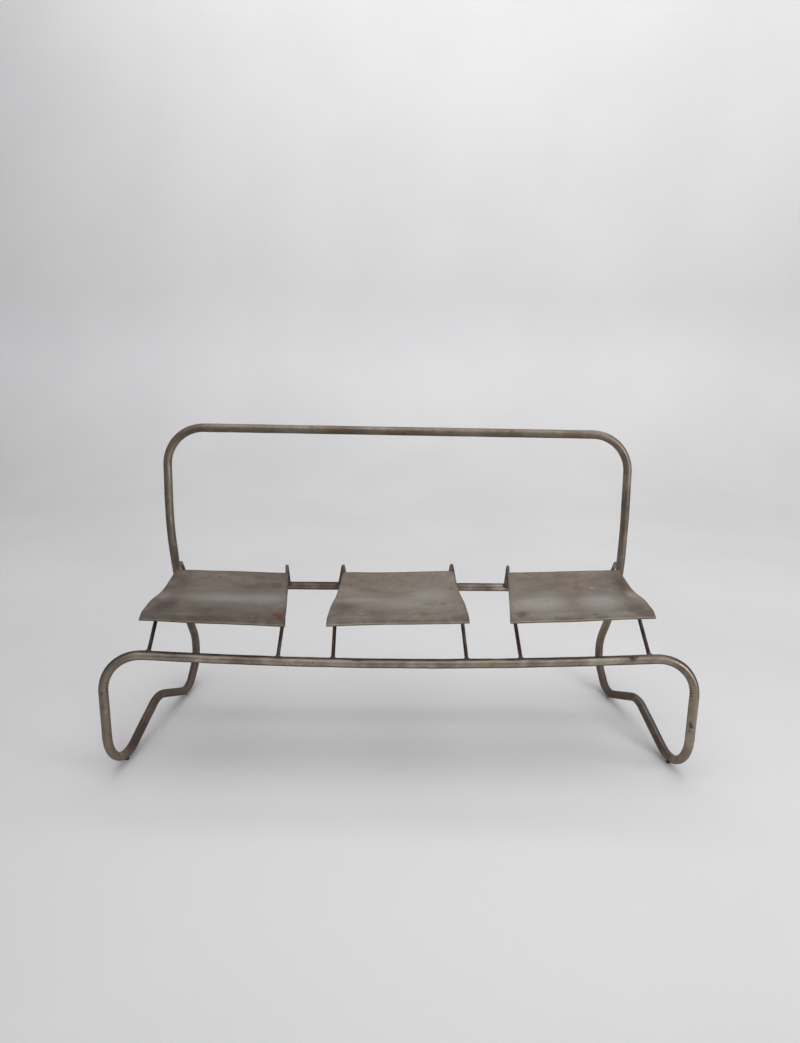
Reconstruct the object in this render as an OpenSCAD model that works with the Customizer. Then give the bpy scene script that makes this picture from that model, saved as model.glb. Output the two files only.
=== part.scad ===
// Three-seat bench bent from one loop of round steel tube.
// Three pressed sheet seats ride on bent round rods that run from the front rail to the rear crossbar.
// Units are millimetres. +Z is up, the front faces -Y, +X is to the right of someone facing the back of the room.
// The origin is the bottom centre of the bounding box, on the floor between the four glides.
// In the side profile, "behind the front rail" is measured towards +Y from the front rail's axis.

/* [Tube] */
// Outside diameter of the frame tube
tube_d = 25.4; // [22:0.1:28]
// Wall thickness of the frame tube
tube_wall = 2; // [1.2:0.1:3]
// Length of each sleeve inside a butt joint
spigot_len = 64; // [50:1:76]
// Gap between a sleeve and the tube's bore
spigot_gap = 0.3; // [0.15:0.05:0.5]

/* [Backrest] */
// Height of the top rail's axis above the floor
top_z = 858.7; // [800:1:900]
// Distance of the top rail's axis behind the front rail
top_y = 516; // [490:1:540]
// Half of the distance between the upright axes at the top
top_x = 695; // [660:1:720]
// Bend radius of the two top corners
top_r = 114; // [90:1:125]
// Height of the butt joint in each upright
joint_z = 692; // [685:1:700]
// Shift of the whole back towards +X, from the waist up
back_shift = -7; // [-10:1:10]
// Drop of the top rail at its right end, and rise at its left end
back_drop = 4.6; // [-6:0.1:6]

/* [Rear legs and feet] */
// Height at which the upright leans furthest forward
waist_z = 572; // [560:1:580]
// Distance of that place behind the front rail, before rounding
waist_y = 485; // [478:1:492]
// Height of the lower bend, where the leg sweeps back
sweep_z = 336; // [325:1:345]
// Distance of the lower bend behind the front rail
sweep_y = 503.7; // [495:0.1:510]
// Height of the heel bend, the rearmost point of the bench
heel_z = 96; // [91:1:100]
// Distance of the heel bend behind the front rail
heel_y = 633.8; // [626:1:640]
// Bend radius of the heel
heel_r = 89; // [60:1:92]
// Distance of the rear foot bend behind the front rail
rear_foot_y = 484.5; // [476:0.5:488]
// Bend radius of the rear foot
rear_foot_r = 101; // [60:1:108]
// Height of the arch between the rear and the front foot
arch_z = 91.5; // [84:1:96]
// Distance of the arch behind the front rail
arch_y = 289.5; // [270:1:300]
// Bend radius of the arch
arch_r = 97; // [70:1:105]

/* [Front loop] */
// Distance of the front foot bend in front of the front rail
front_foot_y = 25.2; // [15:0.1:30]
// Bend radius of the front foot
front_foot_r = 99; // [80:1:106]
// Half of the distance between the front uprights at the feet
front_foot_x = 780.5; // [770:1:790]
// Half of the distance between the front uprights at the top
rail_x = 777; // [760:1:790]
// Bend radius of the two front corners
rail_r = 105.5; // [80:1:116]
// Height of the front rail's axis at mid length
rail_z = 333.8; // [325:0.1:345]
// Height gained by the front rail from mid length to its ends
rail_rise = 26; // [4:1:30]
// Distance of the butt joints in the front rail from mid length
rail_joint_x = 575; // [540:1:600]

/* [Crossbar] */
// Height of the crossbar's axis
bar_z = 367; // [360:1:372]

/* [Seats] */
// Thickness of the seat sheet
sheet_t = 2.4; // [1.5:0.1:3]
// Height of the rear edge of the middle seat before it is tipped
seat_rear_z = 454.6; // [448:0.1:458]
// Distance of the rear edge behind the front rail
seat_rear_y = 387; // [380:1:392]
// Half width of a seat at its rear edge
seat_rear_w = 166; // [160:1:172]
// Half width of a seat at its front edge
seat_front_w = 184.5; // [175:0.5:190]
// Distance of the outer seats from the middle one
seat_pitch = 485.4; // [484:0.1:488]
// Shift of all seats towards +X
seat_shift = -6.8; // [-8:0.1:-3]
// Angle by which the left seat's front turns inwards
left_toe = 3.2; // [2:0.1:4]
// Angle by which the middle seat's front turns to the left
middle_toe = 0.6; // [-1:0.1:1]
// Angle by which the right seat's front turns inwards
right_toe = 4.1; // [2:0.1:4.5]
// Angle by which the left seat's rear is tipped up
left_tip = 0.5; // [0:0.1:1]
// Angle by which the middle seat's rear is tipped up
middle_tip = 0.7; // [0:0.1:1]
// Angle by which the right seat's rear is tipped up
right_tip = -0.4; // [-1:0.1:1]
// Angle by which the left seat's right side stands higher
left_lean = -2.8; // [-3.2:0.1:0]
// Angle by which the middle seat's right side stands higher
middle_lean = 1.7; // [0:0.1:2]
// Angle by which the right seat's right side stands higher
right_lean = 3.8; // [0:0.1:4]
// Height of the left seat above the middle one
left_lift = -1.5; // [-3:0.1:3]
// Height of the right seat above the middle one
right_lift = 10; // [0:0.1:11]
// Length of the folded hem under the front edge
hem_len = 14; // [8:1:20]

/* [Seat rods] */
// Diameter of the seat rods
rod_d = 10; // [8:0.5:12]
// Slope of a rod between the front rail and the seat
rod_slope = 29; // [27:0.5:32]
// Inside bend radius of the ear above the rear edge
ear_r = 9; // [7:0.5:12]
// Height of the ear above the seat's rear edge
ear_h = 14; // [12:0.5:20]

/* [Glides] */
// Diameter of the glide's foot pad
glide_d = 13; // [11:0.5:16]
// Height of the glide below the tube
glide_h = 5; // [4:0.5:7]
// Diameter of the glide's stem
stem_d = 6; // [5:0.5:8]

/* [Hidden] */

steel = [0.42, 0.39, 0.35];
rod_steel = [0.34, 0.29, 0.26];
weld_steel = [0.36, 0.33, 0.30];
black = [0.06, 0.06, 0.06];

rt = tube_d / 2;
ri = rt - tube_wall;
rr = rod_d / 2;
tube_fn = 40;

// ---- vector helpers ----
function unit(v) = v / norm(v);
function bend_half(a, n, b) = acos(unit(a - n) * unit(b - n)) / 2;
// centre of the arc that rounds node n between a and b with radius r
function bend_centre(a, n, b, r) = n + unit(unit(a - n) + unit(b - n)) * r / sin(bend_half(a, n, b));
function bend_trim(a, n, b, r) = r / tan(bend_half(a, n, b));
// lowest point of that arc
function bend_low(a, n, b, r) = let (w = unit(cross(a - n, b - n)))
  bend_centre(a, n, b, r) + r * unit([w.x * w.z, w.y * w.z, w.z * w.z - 1]);
// height of a foot node, so that the rounded axis just reaches height low
function foot_z(a, x, y, b, r, low, k = 12, z = 0) =
  k == 0 ? z
  : foot_z(a, x, y, b, r, low, k - 1, z + low - bend_low(a, [x, y, z], b, r).z);

// ---- the side loop's nodes on the right side, y measured behind the front rail ----
low = rt + glide_h;
// the front rail is a chain of straight chords of an arc, each rail_step long, with eased corners
arc_R = rail_x * rail_x / (2 * rail_rise);
rail_step = rail_joint_x / 3;
function rail_h(x) = rail_z + arc_R - sqrt(arc_R * arc_R - x * x);
rail_tan = (rail_h(rail_joint_x) - rail_h(2.5 * rail_step)) / (rail_step / 2);
function rail_slope(x) = let (a = abs(x), i = floor(a / rail_step - 0.5))
  sign(x) * (i < 0 ? 0 : i >= 2 ? rail_tan : (rail_h((i + 1.5) * rail_step) - rail_h((i + 0.5) * rail_step)) / rail_step);
function rail_axis(x) = let (a = abs(x), i = min(2, floor(a / rail_step - 0.5)))
  i < 0 ? rail_h(rail_step / 2) : rail_h((i + 0.5) * rail_step) + (a - (i + 0.5) * rail_step) * abs(rail_slope(x));
// s is 1 for the right side and -1 for the left one, which is then mirrored
function n_top(s) = [top_x + s * back_shift, top_y, top_z - s * back_drop];
function n_waist(s) = [(top_x + 704.5) / 2 + s * back_shift, waist_y, waist_z];
n_sweep = [698.4, sweep_y, sweep_z];
n_heel = [684.5, heel_y, heel_z];
n_arch = [730.5, arch_y, arch_z];
n_corner = [rail_x, 0, rail_axis(rail_x)];
n_rear_foot = [691.8, rear_foot_y, foot_z(n_heel, 691.8, rear_foot_y, n_arch, rear_foot_r, low)];
n_front_foot = [front_foot_x, -front_foot_y, foot_z(n_arch, front_foot_x, -front_foot_y, n_corner, front_foot_r, low)];
n_rail_end = [rail_joint_x, 0, rail_h(rail_joint_x)];

// the glides stand a little in front of the foot bends' lowest points
function level(v) = unit([v.x, v.y, 0]);
p_rear_foot = bend_low(n_heel, n_rear_foot, n_arch, rear_foot_r) + level(n_arch - n_rear_foot) * 10;
p_front_foot = bend_low(n_arch, n_front_foot, n_corner, front_foot_r) + level(n_front_foot - n_arch) * 12;
// furthest reach of a bend along Y, s = 1 towards the back, -1 towards the front
function bend_reach(a, n, b, r, s) = let (w = unit(cross(a - n, b - n)))
  bend_centre(a, n, b, r).y + s * r * sqrt(1 - w.y * w.y);
// shift that puts the middle of the bench at y = 0
y_mid = (bend_reach(n_sweep, n_heel, n_rear_foot, heel_r, 1) + bend_reach(n_arch, n_front_foot, n_corner, front_foot_r, -1)) / 2;

// joint in the upright, on the straight run below the top corner
function up_dir(s) = unit(n_waist(s) - n_top(s));
function j_up(s) = n_top(s) + up_dir(s) * ((n_top(s).z - joint_z) / -up_dir(s).z);
front_dir = unit([-1, 0, -rail_tan]);

// where the crossbar meets the leg, on the rounded sweep
sweep_r = 620;
waist_r = 800;
// point at share t of the arc that rounds node n, and the share at which it has height z
function bend_point(a, n, b, r, t) = let (
  c = bend_centre(a, n, b, r), k = bend_trim(a, n, b, r),
  p = n + unit(a - n) * k - c, q = n + unit(b - n) * k - c, w = 180 - 2 * bend_half(a, n, b)
) c + (sin(w - w * t) * p + sin(w * t) * q) / sin(w);
function share_at(a, n, b, r, z, lo = 0, hi = 1, k = 24) = let (t = (lo + hi) / 2)
  k == 0 ? t
  : bend_point(a, n, b, r, t).z > z ? share_at(a, n, b, r, z, t, hi, k - 1) : share_at(a, n, b, r, z, lo, t, k - 1);
function leg_share(s) = share_at(n_waist(s), n_sweep, n_heel, sweep_r, bar_z);
function leg_point(s) = bend_point(n_waist(s), n_sweep, n_heel, sweep_r, leg_share(s));
function leg_dir(s) = unit(bend_point(n_waist(s), n_sweep, n_heel, sweep_r, leg_share(s) + 0.01)
  - bend_point(n_waist(s), n_sweep, n_heel, sweep_r, leg_share(s) - 0.01));
bar_y = leg_point(0).y;

function side_nodes(s) = [j_up(s), n_waist(s), n_sweep, n_heel, n_rear_foot, n_arch, n_front_foot, n_corner, n_rail_end];
side_radii = [0, waist_r, sweep_r, heel_r, rear_foot_r, arch_r, front_foot_r, rail_r, 0];
function flip(v) = [-v.x, v.y, v.z];
hoop_nodes = [flip(j_up(-1)), flip(n_top(-1)), n_top(1), j_up(1)];
hoop_radii = [0, top_r, top_r, 0];

// ---- swept round sections ----
module ring(r, wall) {
  difference() {
    circle(r = r, $fn = tube_fn);
    if (wall > 0) circle(r = r - wall, $fn = tube_fn);
  }
}
// straight run from a to b
module run(a, b, r, wall = 0) {
  d = b - a;
  translate(a) rotate([0, acos(d.z / norm(d)), atan2(d.y, d.x)])
    if (wall > 0) linear_extrude(height = norm(d)) ring(r, wall);
    else cylinder(r = r, h = norm(d), $fn = tube_fn);
}
// a bent stretch is thinner than a straight one by thin on its radius; a straight one reaches into it by lap
thin = 0.06;
function lap(R) = min(1, 0.1 * sqrt(R));
// arc that rounds node n
module bend(a, n, b, R, r, wall = 0) {
  half = bend_half(a, n, b);
  u = unit(a - n);
  c = bend_centre(a, n, b, R);
  e1 = unit(n + u * bend_trim(a, n, b, R) - c);
  e2 = -u;
  e3 = cross(e1, e2);
  turn = 180 - 2 * half;
  multmatrix([[e1.x, e2.x, e3.x, c.x], [e1.y, e2.y, e3.y, c.y], [e1.z, e2.z, e3.z, c.z], [0, 0, 0, 1]])
    rotate_extrude(angle = turn, $fn = max(48, ceil(360 / turn * 7)))
      translate([R, 0]) ring(r, wall);
}
// a whole bent length through nodes p, rounded with radii q
module bent(p, q, r, wall = 0) {
  n = len(p);
  for (i = [0:n - 2])
    run(p[i] + (i == 0 ? [0, 0, 0] : unit(p[i + 1] - p[i]) * (bend_trim(p[i - 1], p[i], p[i + 1], q[i]) - lap(q[i]))),
        p[i + 1] - (i == n - 2 ? [0, 0, 0] : unit(p[i + 1] - p[i]) * (bend_trim(p[i], p[i + 1], p[i + 2], q[i + 1]) - lap(q[i + 1]))),
        r, wall);
  for (i = [1:n - 2]) bend(p[i - 1], p[i], p[i + 1], q[i], r - thin, wall > 0 ? wall - 2 * thin : 0);
}
module placed() translate([0, -y_mid, 0]) children();
module left_of() mirror([1, 0, 0]) children();

// ---- frame tubes ----
module stem_hole(c) translate([c.x, c.y, 0]) cylinder(d = stem_d + 0.2, h = glide_h + tube_wall + 6, $fn = 32);
module side_tube(s) placed() difference() {
  bent(side_nodes(s), side_radii, rt, tube_wall);
  stem_hole(p_rear_foot);
  stem_hole(p_front_foot);
}
module back_hoop_tube() color(steel) placed() bent(hoop_nodes, hoop_radii, rt, tube_wall);
module right_side_tube() color(steel) side_tube(1);
module left_side_tube() color(steel) left_of() side_tube(-1);
rail_steps = [-2.5, -1.5, -0.5, 0.5, 1.5, 2.5];
rail_nodes = concat([[-rail_joint_x, 0, rail_h(rail_joint_x)]],
  [for (i = rail_steps) [i * rail_step, 0, rail_h(i * rail_step)]], [n_rail_end]);
module front_rail_tube() color(steel) placed() bent(rail_nodes, [for (i = rail_nodes) 3000], rt, tube_wall);
module leg_cut(s) run(leg_point(s) - leg_dir(s) * 60, leg_point(s) + leg_dir(s) * 60, rt + 0.25);
module rear_crossbar() color(steel) placed() difference() {
  run([-leg_point(-1).x, bar_y, bar_z], [leg_point(1).x, bar_y, bar_z], rt, tube_wall);
  leg_cut(1);
  left_of() leg_cut(-1);
}

// ---- sleeves and beads at the butt joints ----
module spigot(p, d) placed() run(p - d * spigot_len / 2, p + d * spigot_len / 2, ri - spigot_gap, 2);
module butt_weld(p, d) placed() {
  translate(p) rotate([0, acos(d.z), atan2(d.y, d.x)])
    rotate_extrude($fn = 64) intersection() {
      translate([rt - 3.4, 0]) circle(r = 4.1, $fn = 32);
      translate([rt, -5]) square([3, 10]);
    }
}
module upper_right_spigot() color(steel) spigot(j_up(1), up_dir(1));
module upper_left_spigot() color(steel) left_of() spigot(j_up(-1), up_dir(-1));
module front_right_spigot() color(steel) spigot(n_rail_end, front_dir);
module front_left_spigot() color(steel) left_of() spigot(n_rail_end, front_dir);
module upper_right_butt_weld() color(weld_steel) butt_weld(j_up(1), up_dir(1));
module upper_left_butt_weld() color(weld_steel) left_of() butt_weld(j_up(-1), up_dir(-1));
module front_right_butt_weld() color(weld_steel) butt_weld(n_rail_end, front_dir);
module front_left_butt_weld() color(weld_steel) left_of() butt_weld(n_rail_end, front_dir);

// ---- welds at the crossbar's ends ----
module bar_end_weld(s) placed() difference() {
  translate([leg_point(s).x - rt - 7, bar_y, bar_z]) rotate([0, 90, 0]) cylinder(r1 = rt + 0.6, r2 = rt + 5, h = 15, $fn = 48);
  leg_cut(s);
  run([0, bar_y, bar_z], [leg_point(s).x + 20, bar_y, bar_z], rt + 0.02);
  translate([leg_point(s).x, bar_y - 50, bar_z - 50]) cube([50, 100, 100]);
}
module crossbar_right_weld() color(weld_steel) bar_end_weld(1);
module crossbar_left_weld() color(weld_steel) left_of() bar_end_weld(-1);

// ---- seats ----
// side profile of the seat's upper face, rear to front, before rounding
seat_nodes = [
  [seat_rear_y, seat_rear_z], [227.6, seat_rear_z - 11.6], [113.5, seat_rear_z + 5.5],
  [26.8, seat_rear_z + 4.8], [0, seat_rear_z - 6.2]
];
seat_radii = [0, 487, 340, 45, 0];
function arc_points(a, n, b, r, k) = let (
  u = unit(a - n), v = unit(b - n), h = acos(u * v) / 2, t = r / tan(h),
  c = n + unit(u + v) * r / sin(h), s = n + u * t - c, e = n + v * t - c, w = 180 - 2 * h
) [for (i = [0:k]) c + (sin(w - w * i / k) * s + sin(w * i / k) * e) / sin(w)];
seat_tip = arc_points(seat_nodes[2], seat_nodes[3], seat_nodes[4], seat_radii[3], 12)[12];
seat_top = concat([seat_nodes[0]],
  [for (i = [1:3]) for (q = arc_points(seat_nodes[i - 1], seat_nodes[i], seat_nodes[i + 1], seat_radii[i], 12)) q],
  [for (t = [0.2:0.2:1]) seat_tip + (seat_nodes[4] - seat_tip) * t]);
// the same line moved down by t at right angles to itself
function moved(p, t) = [for (i = [0:len(p) - 1]) let (
  d = unit(p[min(i + 1, len(p) - 1)] - p[max(i - 1, 0)])) p[i] + [-d.y, d.x] * t];
function height_at(p, y, i = 0) = i >= len(p) - 2 || y >= p[i + 1].x
  ? p[i].y + (p[i + 1].y - p[i].y) * (y - p[i].x) / (p[i + 1].x - p[i].x) : height_at(p, y, i + 1);
seat_under = moved(seat_top, sheet_t);
seat_mid_y = seat_rear_y / 2;
// seat k is -1 (left), 0 (middle) or 1 (right)
function seat_x(k) = k * seat_pitch + seat_shift;
function toe(k) = k < 0 ? left_toe : k > 0 ? -right_toe : -middle_toe;
function lean(k) = k < 0 ? left_lean : k > 0 ? right_lean : middle_lean;
function tip(k) = k < 0 ? left_tip : k > 0 ? right_tip : middle_tip;
function lift(k) = k < 0 ? left_lift : k > 0 ? right_lift : 0;
module seat_frame(k) translate([seat_x(k), seat_mid_y, seat_rear_z + lift(k)])
  rotate([tip(k), -lean(k), toe(k)]) translate([0, -seat_mid_y, -seat_rear_z]) children();
// underside of seat k straight above the place [x, y], and the y of its rear edge at x
function plate_z(k, x, y) = let (X = x - seat_x(k), Y = y - seat_mid_y, L = cos(toe(k)) * Y - sin(toe(k)) * X)
  lift(k) + tan(lean(k)) * (cos(toe(k)) * X + sin(toe(k)) * Y) + tan(tip(k)) * L
  + height_at(seat_under, seat_mid_y + L);
function edge_y(k, x) = seat_mid_y + (seat_mid_y + sin(toe(k)) * (x - seat_x(k))) / cos(toe(k));
module sheet_blank() rotate([90, 0, 90]) translate([0, 0, -250]) linear_extrude(height = 500)
  polygon(concat(seat_top, [for (i = [len(seat_under) - 1:-1:0]) seat_under[i]]));
hem_top = [for (q = seat_under) if (q.x < hem_len) q];
module hem_blank() rotate([90, 0, 90]) translate([0, 0, -250]) linear_extrude(height = 500)
  polygon(concat(hem_top, [for (i = [len(hem_top) - 1:-1:0]) moved(hem_top, sheet_t)[i]]));
module seat_outline() translate([0, 0, seat_rear_z - 60]) linear_extrude(height = 120)
  difference() {
    polygon([[-seat_rear_w, seat_rear_y + 5], [seat_rear_w, seat_rear_y + 5], [seat_front_w, 0], [seat_front_w, -8], [-seat_front_w, -8], [-seat_front_w, 0]]);
    for (m = [-1, 1]) translate([m * seat_front_w, -4]) mirror([m > 0 ? 1 : 0, 0]) difference() {
      translate([-1, -6]) square([6, 11]);
      translate([5, 7]) circle(r = 5.6, $fn = 48);
    }
  }
module seat_plate(k) placed() seat_frame(k) intersection() {
  union() { sheet_blank(); hem_blank(); }
  seat_outline();
}
module left_seat_plate() color(steel) seat_plate(-1);
module middle_seat_plate() color(steel) seat_plate(0);
module right_seat_plate() color(steel) seat_plate(1);

// ---- seat rods ----
// places of the rod on side m of seat k along X: on the rail, in the dip, behind the rear edge, at the ear's tip, on the crossbar
function pick(v, k, m) = v[k + 1][m < 0 ? 0 : 1];
function rod_x(k, m) = pick([[-654.7, -320.6], [-176.7, 173.8], [315.7, 651.3]], k, m);
function dip_x(k, m) = pick([[-658.4, -319.3], [-178.5, 167.5], [310.2, 650.8]], k, m);
function foot_x(k, m) = pick([[-645.4, -341], [-165.5, 150.5], [328, 637.4]], k, m);
function tip_x(k, m) = foot_x(k, m) + pick([[-16, -3], [-6.5, 6.5], [3, 16]], k, m);
function bar_x(k, m) = foot_x(k, m) + pick([[-28, -9], [-26, 30], [10, 28]], k, m);
function ear_z(k, m) = ear_h + pick([[1, 2.5], [1, -2.5], [0, 1]], k, m);
// a rod's run under the seat keeps a small gap below the sheet's lowest place
function under_slope(k) = 0.057 + tan(tip(k));
rod_y1 = 165;
function rod_y2(k, m) = edge_y(k, foot_x(k, m)) + 3;
function along(k, m, y) = dip_x(k, m) + (foot_x(k, m) - dip_x(k, m)) * (y - rod_y1) / (rod_y2(k, m) - rod_y1);
function under_z(k, m) = min([for (y = [rod_y1:4:rod_y2(k, m) - 4]) plate_z(k, along(k, m, y), y) - under_slope(k) * (y - rod_y1)]) - rr - 0.4;
function rod_nodes(k, m) = let (
  xf = rod_x(k, m), xe = foot_x(k, m), ye = rod_y2(k, m), zf = rail_axis(xf), u = under_z(k, m),
  y1 = (u - under_slope(k) * rod_y1 - zf) / (tan(rod_slope) - under_slope(k)),
  x1 = along(k, m, y1)
) [[xf, 0, zf], [x1, y1, u + under_slope(k) * (y1 - rod_y1)], [xe, ye, u + under_slope(k) * (ye - rod_y1)],
   [tip_x(k, m), ye + 26, plate_z(k, xe, ye - 4) + sheet_t + ear_z(k, m)], [bar_x(k, m), bar_y, bar_z]];
rod_radii = [0, 45, 12, ear_r, 0];
module rail_cut(x, r) {
  d = unit([1, 0, rail_slope(x)]);
  run([x, 0, rail_axis(x)] - d * 40, [x, 0, rail_axis(x)] + d * 40, r);
}
module bar_cut(x, r) run([x - 40, bar_y, bar_z], [x + 40, bar_y, bar_z], r);
module seat_rod(k, m) color(rod_steel) placed() difference() {
  bent(rod_nodes(k, m), rod_radii, rr);
  rail_cut(rod_x(k, m), rt + 0.05);
  bar_cut(bar_x(k, m), rt + 0.05);
}
module left_seat_left_rod() seat_rod(-1, -1);
module left_seat_right_rod() seat_rod(-1, 1);
module middle_seat_left_rod() seat_rod(0, -1);
module middle_seat_right_rod() seat_rod(0, 1);
module right_seat_left_rod() seat_rod(1, -1);
module right_seat_right_rod() seat_rod(1, 1);

// ---- welds of the rods ----
// fillet around a rod where it leaves a tube: p on the tube's axis, d along the rod
module rod_weld(p, d) translate(p) rotate([0, acos(d.z), atan2(d.y, d.x)]) translate([0, 0, rt - 4])
  cylinder(r1 = rr + 5, r2 = rr + 0.5, h = 9.5, $fn = 40);
module rail_welds(k) color(weld_steel) placed() for (m = [-1, 1]) {
  p = rod_nodes(k, m);
  difference() {
    rod_weld(p[0], unit(p[1] - p[0]));
    rail_cut(p[0].x, rt + 0.02);
    run(p[0], p[1], rr + 0.02);
  }
}
module crossbar_welds(k) color(weld_steel) placed() for (m = [-1, 1]) {
  p = rod_nodes(k, m);
  difference() {
    rod_weld(p[4], unit(p[3] - p[4]));
    bar_cut(p[4].x, rt + 0.02);
    run(p[4], p[3], rr + 0.02);
  }
}
module left_seat_rail_welds() rail_welds(-1);
module middle_seat_rail_welds() rail_welds(0);
module right_seat_rail_welds() rail_welds(1);
module left_seat_crossbar_welds() crossbar_welds(-1);
module middle_seat_crossbar_welds() crossbar_welds(0);
module right_seat_crossbar_welds() crossbar_welds(1);
// short beads on the inner side of each rod, under the sheet
module under_welds(k) color(weld_steel) placed() for (m = [-1, 1]) for (f = [0.22, 0.82]) {
  p = rod_nodes(k, m);
  d = unit(p[2] - p[1]);
  q = p[1] + (p[2] - p[1]) * f;
  difference() {
    run(q - d * 10 + [-m * (rr + 1), 0, rr - 2], q + d * 10 + [-m * (rr + 1), 0, rr - 2], 3.6);
    run(p[1] - d * 5, p[2] + d * 5, rr + 0.02);
    seat_frame(k) rotate([90, 0, 90]) translate([0, 0, -250]) linear_extrude(height = 500)
      polygon(concat([for (u = seat_under) u - [0, 0.03]], [[-30, seat_rear_z + 60], [seat_rear_y + 30, seat_rear_z + 60]]));
  }
}
module left_seat_under_welds() under_welds(-1);
module middle_seat_under_welds() under_welds(0);
module right_seat_under_welds() under_welds(1);

// ---- glides ----
module glide(a, n, b, R, c) placed() {
  difference() {
    translate([c.x, c.y, 0]) cylinder(d = glide_d, h = glide_h + 3, $fn = 48);
    bend(a, n, b, R, rt + 0.05);
  }
  translate([c.x, c.y, 0]) cylinder(d = stem_d, h = glide_h + tube_wall + 5, $fn = 32);
}
module front_glide() color(black) glide(n_arch, n_front_foot, n_corner, front_foot_r, p_front_foot);
module rear_glide() color(black) glide(n_heel, n_rear_foot, n_arch, rear_foot_r, p_rear_foot);
module front_right_glide() front_glide();
module front_left_glide() left_of() front_glide();
module rear_right_glide() rear_glide();
module rear_left_glide() left_of() rear_glide();

back_hoop_tube();
left_side_tube();
right_side_tube();
front_rail_tube();
rear_crossbar();
upper_left_spigot();
upper_right_spigot();
front_left_spigot();
front_right_spigot();
upper_left_butt_weld();
upper_right_butt_weld();
front_left_butt_weld();
front_right_butt_weld();
crossbar_left_weld();
crossbar_right_weld();
left_seat_plate();
middle_seat_plate();
right_seat_plate();
left_seat_left_rod();
left_seat_right_rod();
middle_seat_left_rod();
middle_seat_right_rod();
right_seat_left_rod();
right_seat_right_rod();
left_seat_rail_welds();
middle_seat_rail_welds();
right_seat_rail_welds();
left_seat_crossbar_welds();
middle_seat_crossbar_welds();
right_seat_crossbar_welds();
left_seat_under_welds();
middle_seat_under_welds();
right_seat_under_welds();
front_left_glide();
front_right_glide();
rear_left_glide();
rear_right_glide();
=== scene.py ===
import math

import bpy
import numpy as np
from mathutils import Matrix


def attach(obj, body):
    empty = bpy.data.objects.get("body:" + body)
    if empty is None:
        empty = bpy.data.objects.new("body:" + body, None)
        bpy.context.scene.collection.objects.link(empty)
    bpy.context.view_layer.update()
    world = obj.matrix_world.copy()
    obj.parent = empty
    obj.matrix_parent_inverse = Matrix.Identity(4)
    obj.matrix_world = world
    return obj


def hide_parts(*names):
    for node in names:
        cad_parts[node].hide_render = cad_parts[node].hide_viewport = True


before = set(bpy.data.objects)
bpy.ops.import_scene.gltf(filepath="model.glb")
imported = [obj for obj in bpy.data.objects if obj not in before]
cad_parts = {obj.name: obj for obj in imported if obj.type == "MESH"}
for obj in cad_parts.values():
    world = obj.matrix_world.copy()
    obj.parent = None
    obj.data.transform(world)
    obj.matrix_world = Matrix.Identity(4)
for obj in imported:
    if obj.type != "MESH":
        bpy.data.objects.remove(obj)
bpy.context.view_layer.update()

MM = 0.001
Y_MID = 294.403          # the row frame's y = 0, measured behind the front rail's axis

# --------------------------------------------------------------------------------------------
# dimensions of the CAD, in millimetres, y measured behind the front rail's axis
# --------------------------------------------------------------------------------------------
TUBE_R, TUBE_RI, ROD_R = 12.7, 10.7, 5.0
SIDE_RADII = [0, 800, 620, 89, 101, 97, 99, 105.5, 0]
SIDE_RIGHT = [[690.729, 498.187, 692], [692.75, 485, 572], [698.4, 503.7, 336], [684.5, 633.8, 96],
              [691.8, 484.5, 5.00618], [730.5, 289.5, 91.5], [780.5, -25.2, -31.421],
              [777, 0, 357.227], [575, 0, 348.047]]
SIDE_LEFT = [[-704.793, 497.77, 692], [-706.75, 485, 572], [-698.4, 503.7, 336], [-684.5, 633.8, 96],
             [-691.8, 484.5, 5.00618], [-730.5, 289.5, 91.5], [-780.5, -25.2, -31.421],
             [-777, 0, 357.227], [-575, 0, 348.047]]
HOOP = [[-704.793, 497.77, 692], [-702, 516, 863.3], [688, 516, 854.1], [690.729, 498.187, 692]]
RAIL = [[-575, 0, 348.047], [-479.167, 0, 343.692], [-287.5, 0, 337.36], [-95.8333, 0, 334.196],
        [95.8333, 0, 334.196], [287.5, 0, 337.36], [479.167, 0, 343.692], [575, 0, 348.047]]
BAR_Y, BAR_Z = 509.613, 367.0
ROD_RADII = [0, 45, 12, 9, 0]
RODS = {
    "left_seat_left_rod": [[-654.7, 0, 351.669], [-658.921, 156.316, 438.317], [-645.4, 381.737, 453.133], [-661.4, 407.737, 476.679], [-673.4, 509.613, 367]],
    "left_seat_right_rod": [[-320.6, 0, 338.454], [-317.782, 148.645, 420.849], [-341, 398.756, 437.288], [-344, 424.756, 463.268], [-350, 509.613, 367]],
    "middle_seat_left_rod": [[-176.7, 0, 335.531], [-178.495, 165.087, 427.04], [-165.5, 391.673, 442.724], [-172, 417.673, 467.103], [-191.5, 509.613, 367]],
    "middle_seat_right_rod": [[173.8, 0, 335.483], [165.905, 185.957, 438.561], [150.5, 388.363, 452.571], [157, 414.363, 472.982], [180.5, 509.613, 367]],
    "right_seat_left_rod": [[315.7, 0, 338.292], [310.394, 167.573, 431.179], [328, 401.292, 442.869], [331, 427.292, 466.232], [338, 509.613, 367]],
    "right_seat_right_rod": [[651.3, 0, 351.515], [649.448, 186.609, 454.954], [637.4, 379.114, 464.583], [653.4, 405.114, 487.835], [665.4, 509.613, 367]],
}
SEAT_REAR_Y, SEAT_REAR_Z, SHEET_T, HEM = 387.0, 454.6, 2.4, 14.0
SEAT_W_REAR, SEAT_W_FRONT = 166.0, 184.5
SEATS = {  # centre x, toe, lean at the rear edge, lean at the front edge, tip, lift; the sheets are a little twisted about the CAD's lean
    "left": (-492.2, 3.2, -2.4, -3.2, 0.5, -1.5),
    "middle": (-6.8, -0.6, 1.3, 2.1, 0.7, 0.0),
    "right": (478.6, -4.1, 3.35, 4.25, -0.4, 10.0),
}
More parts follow.
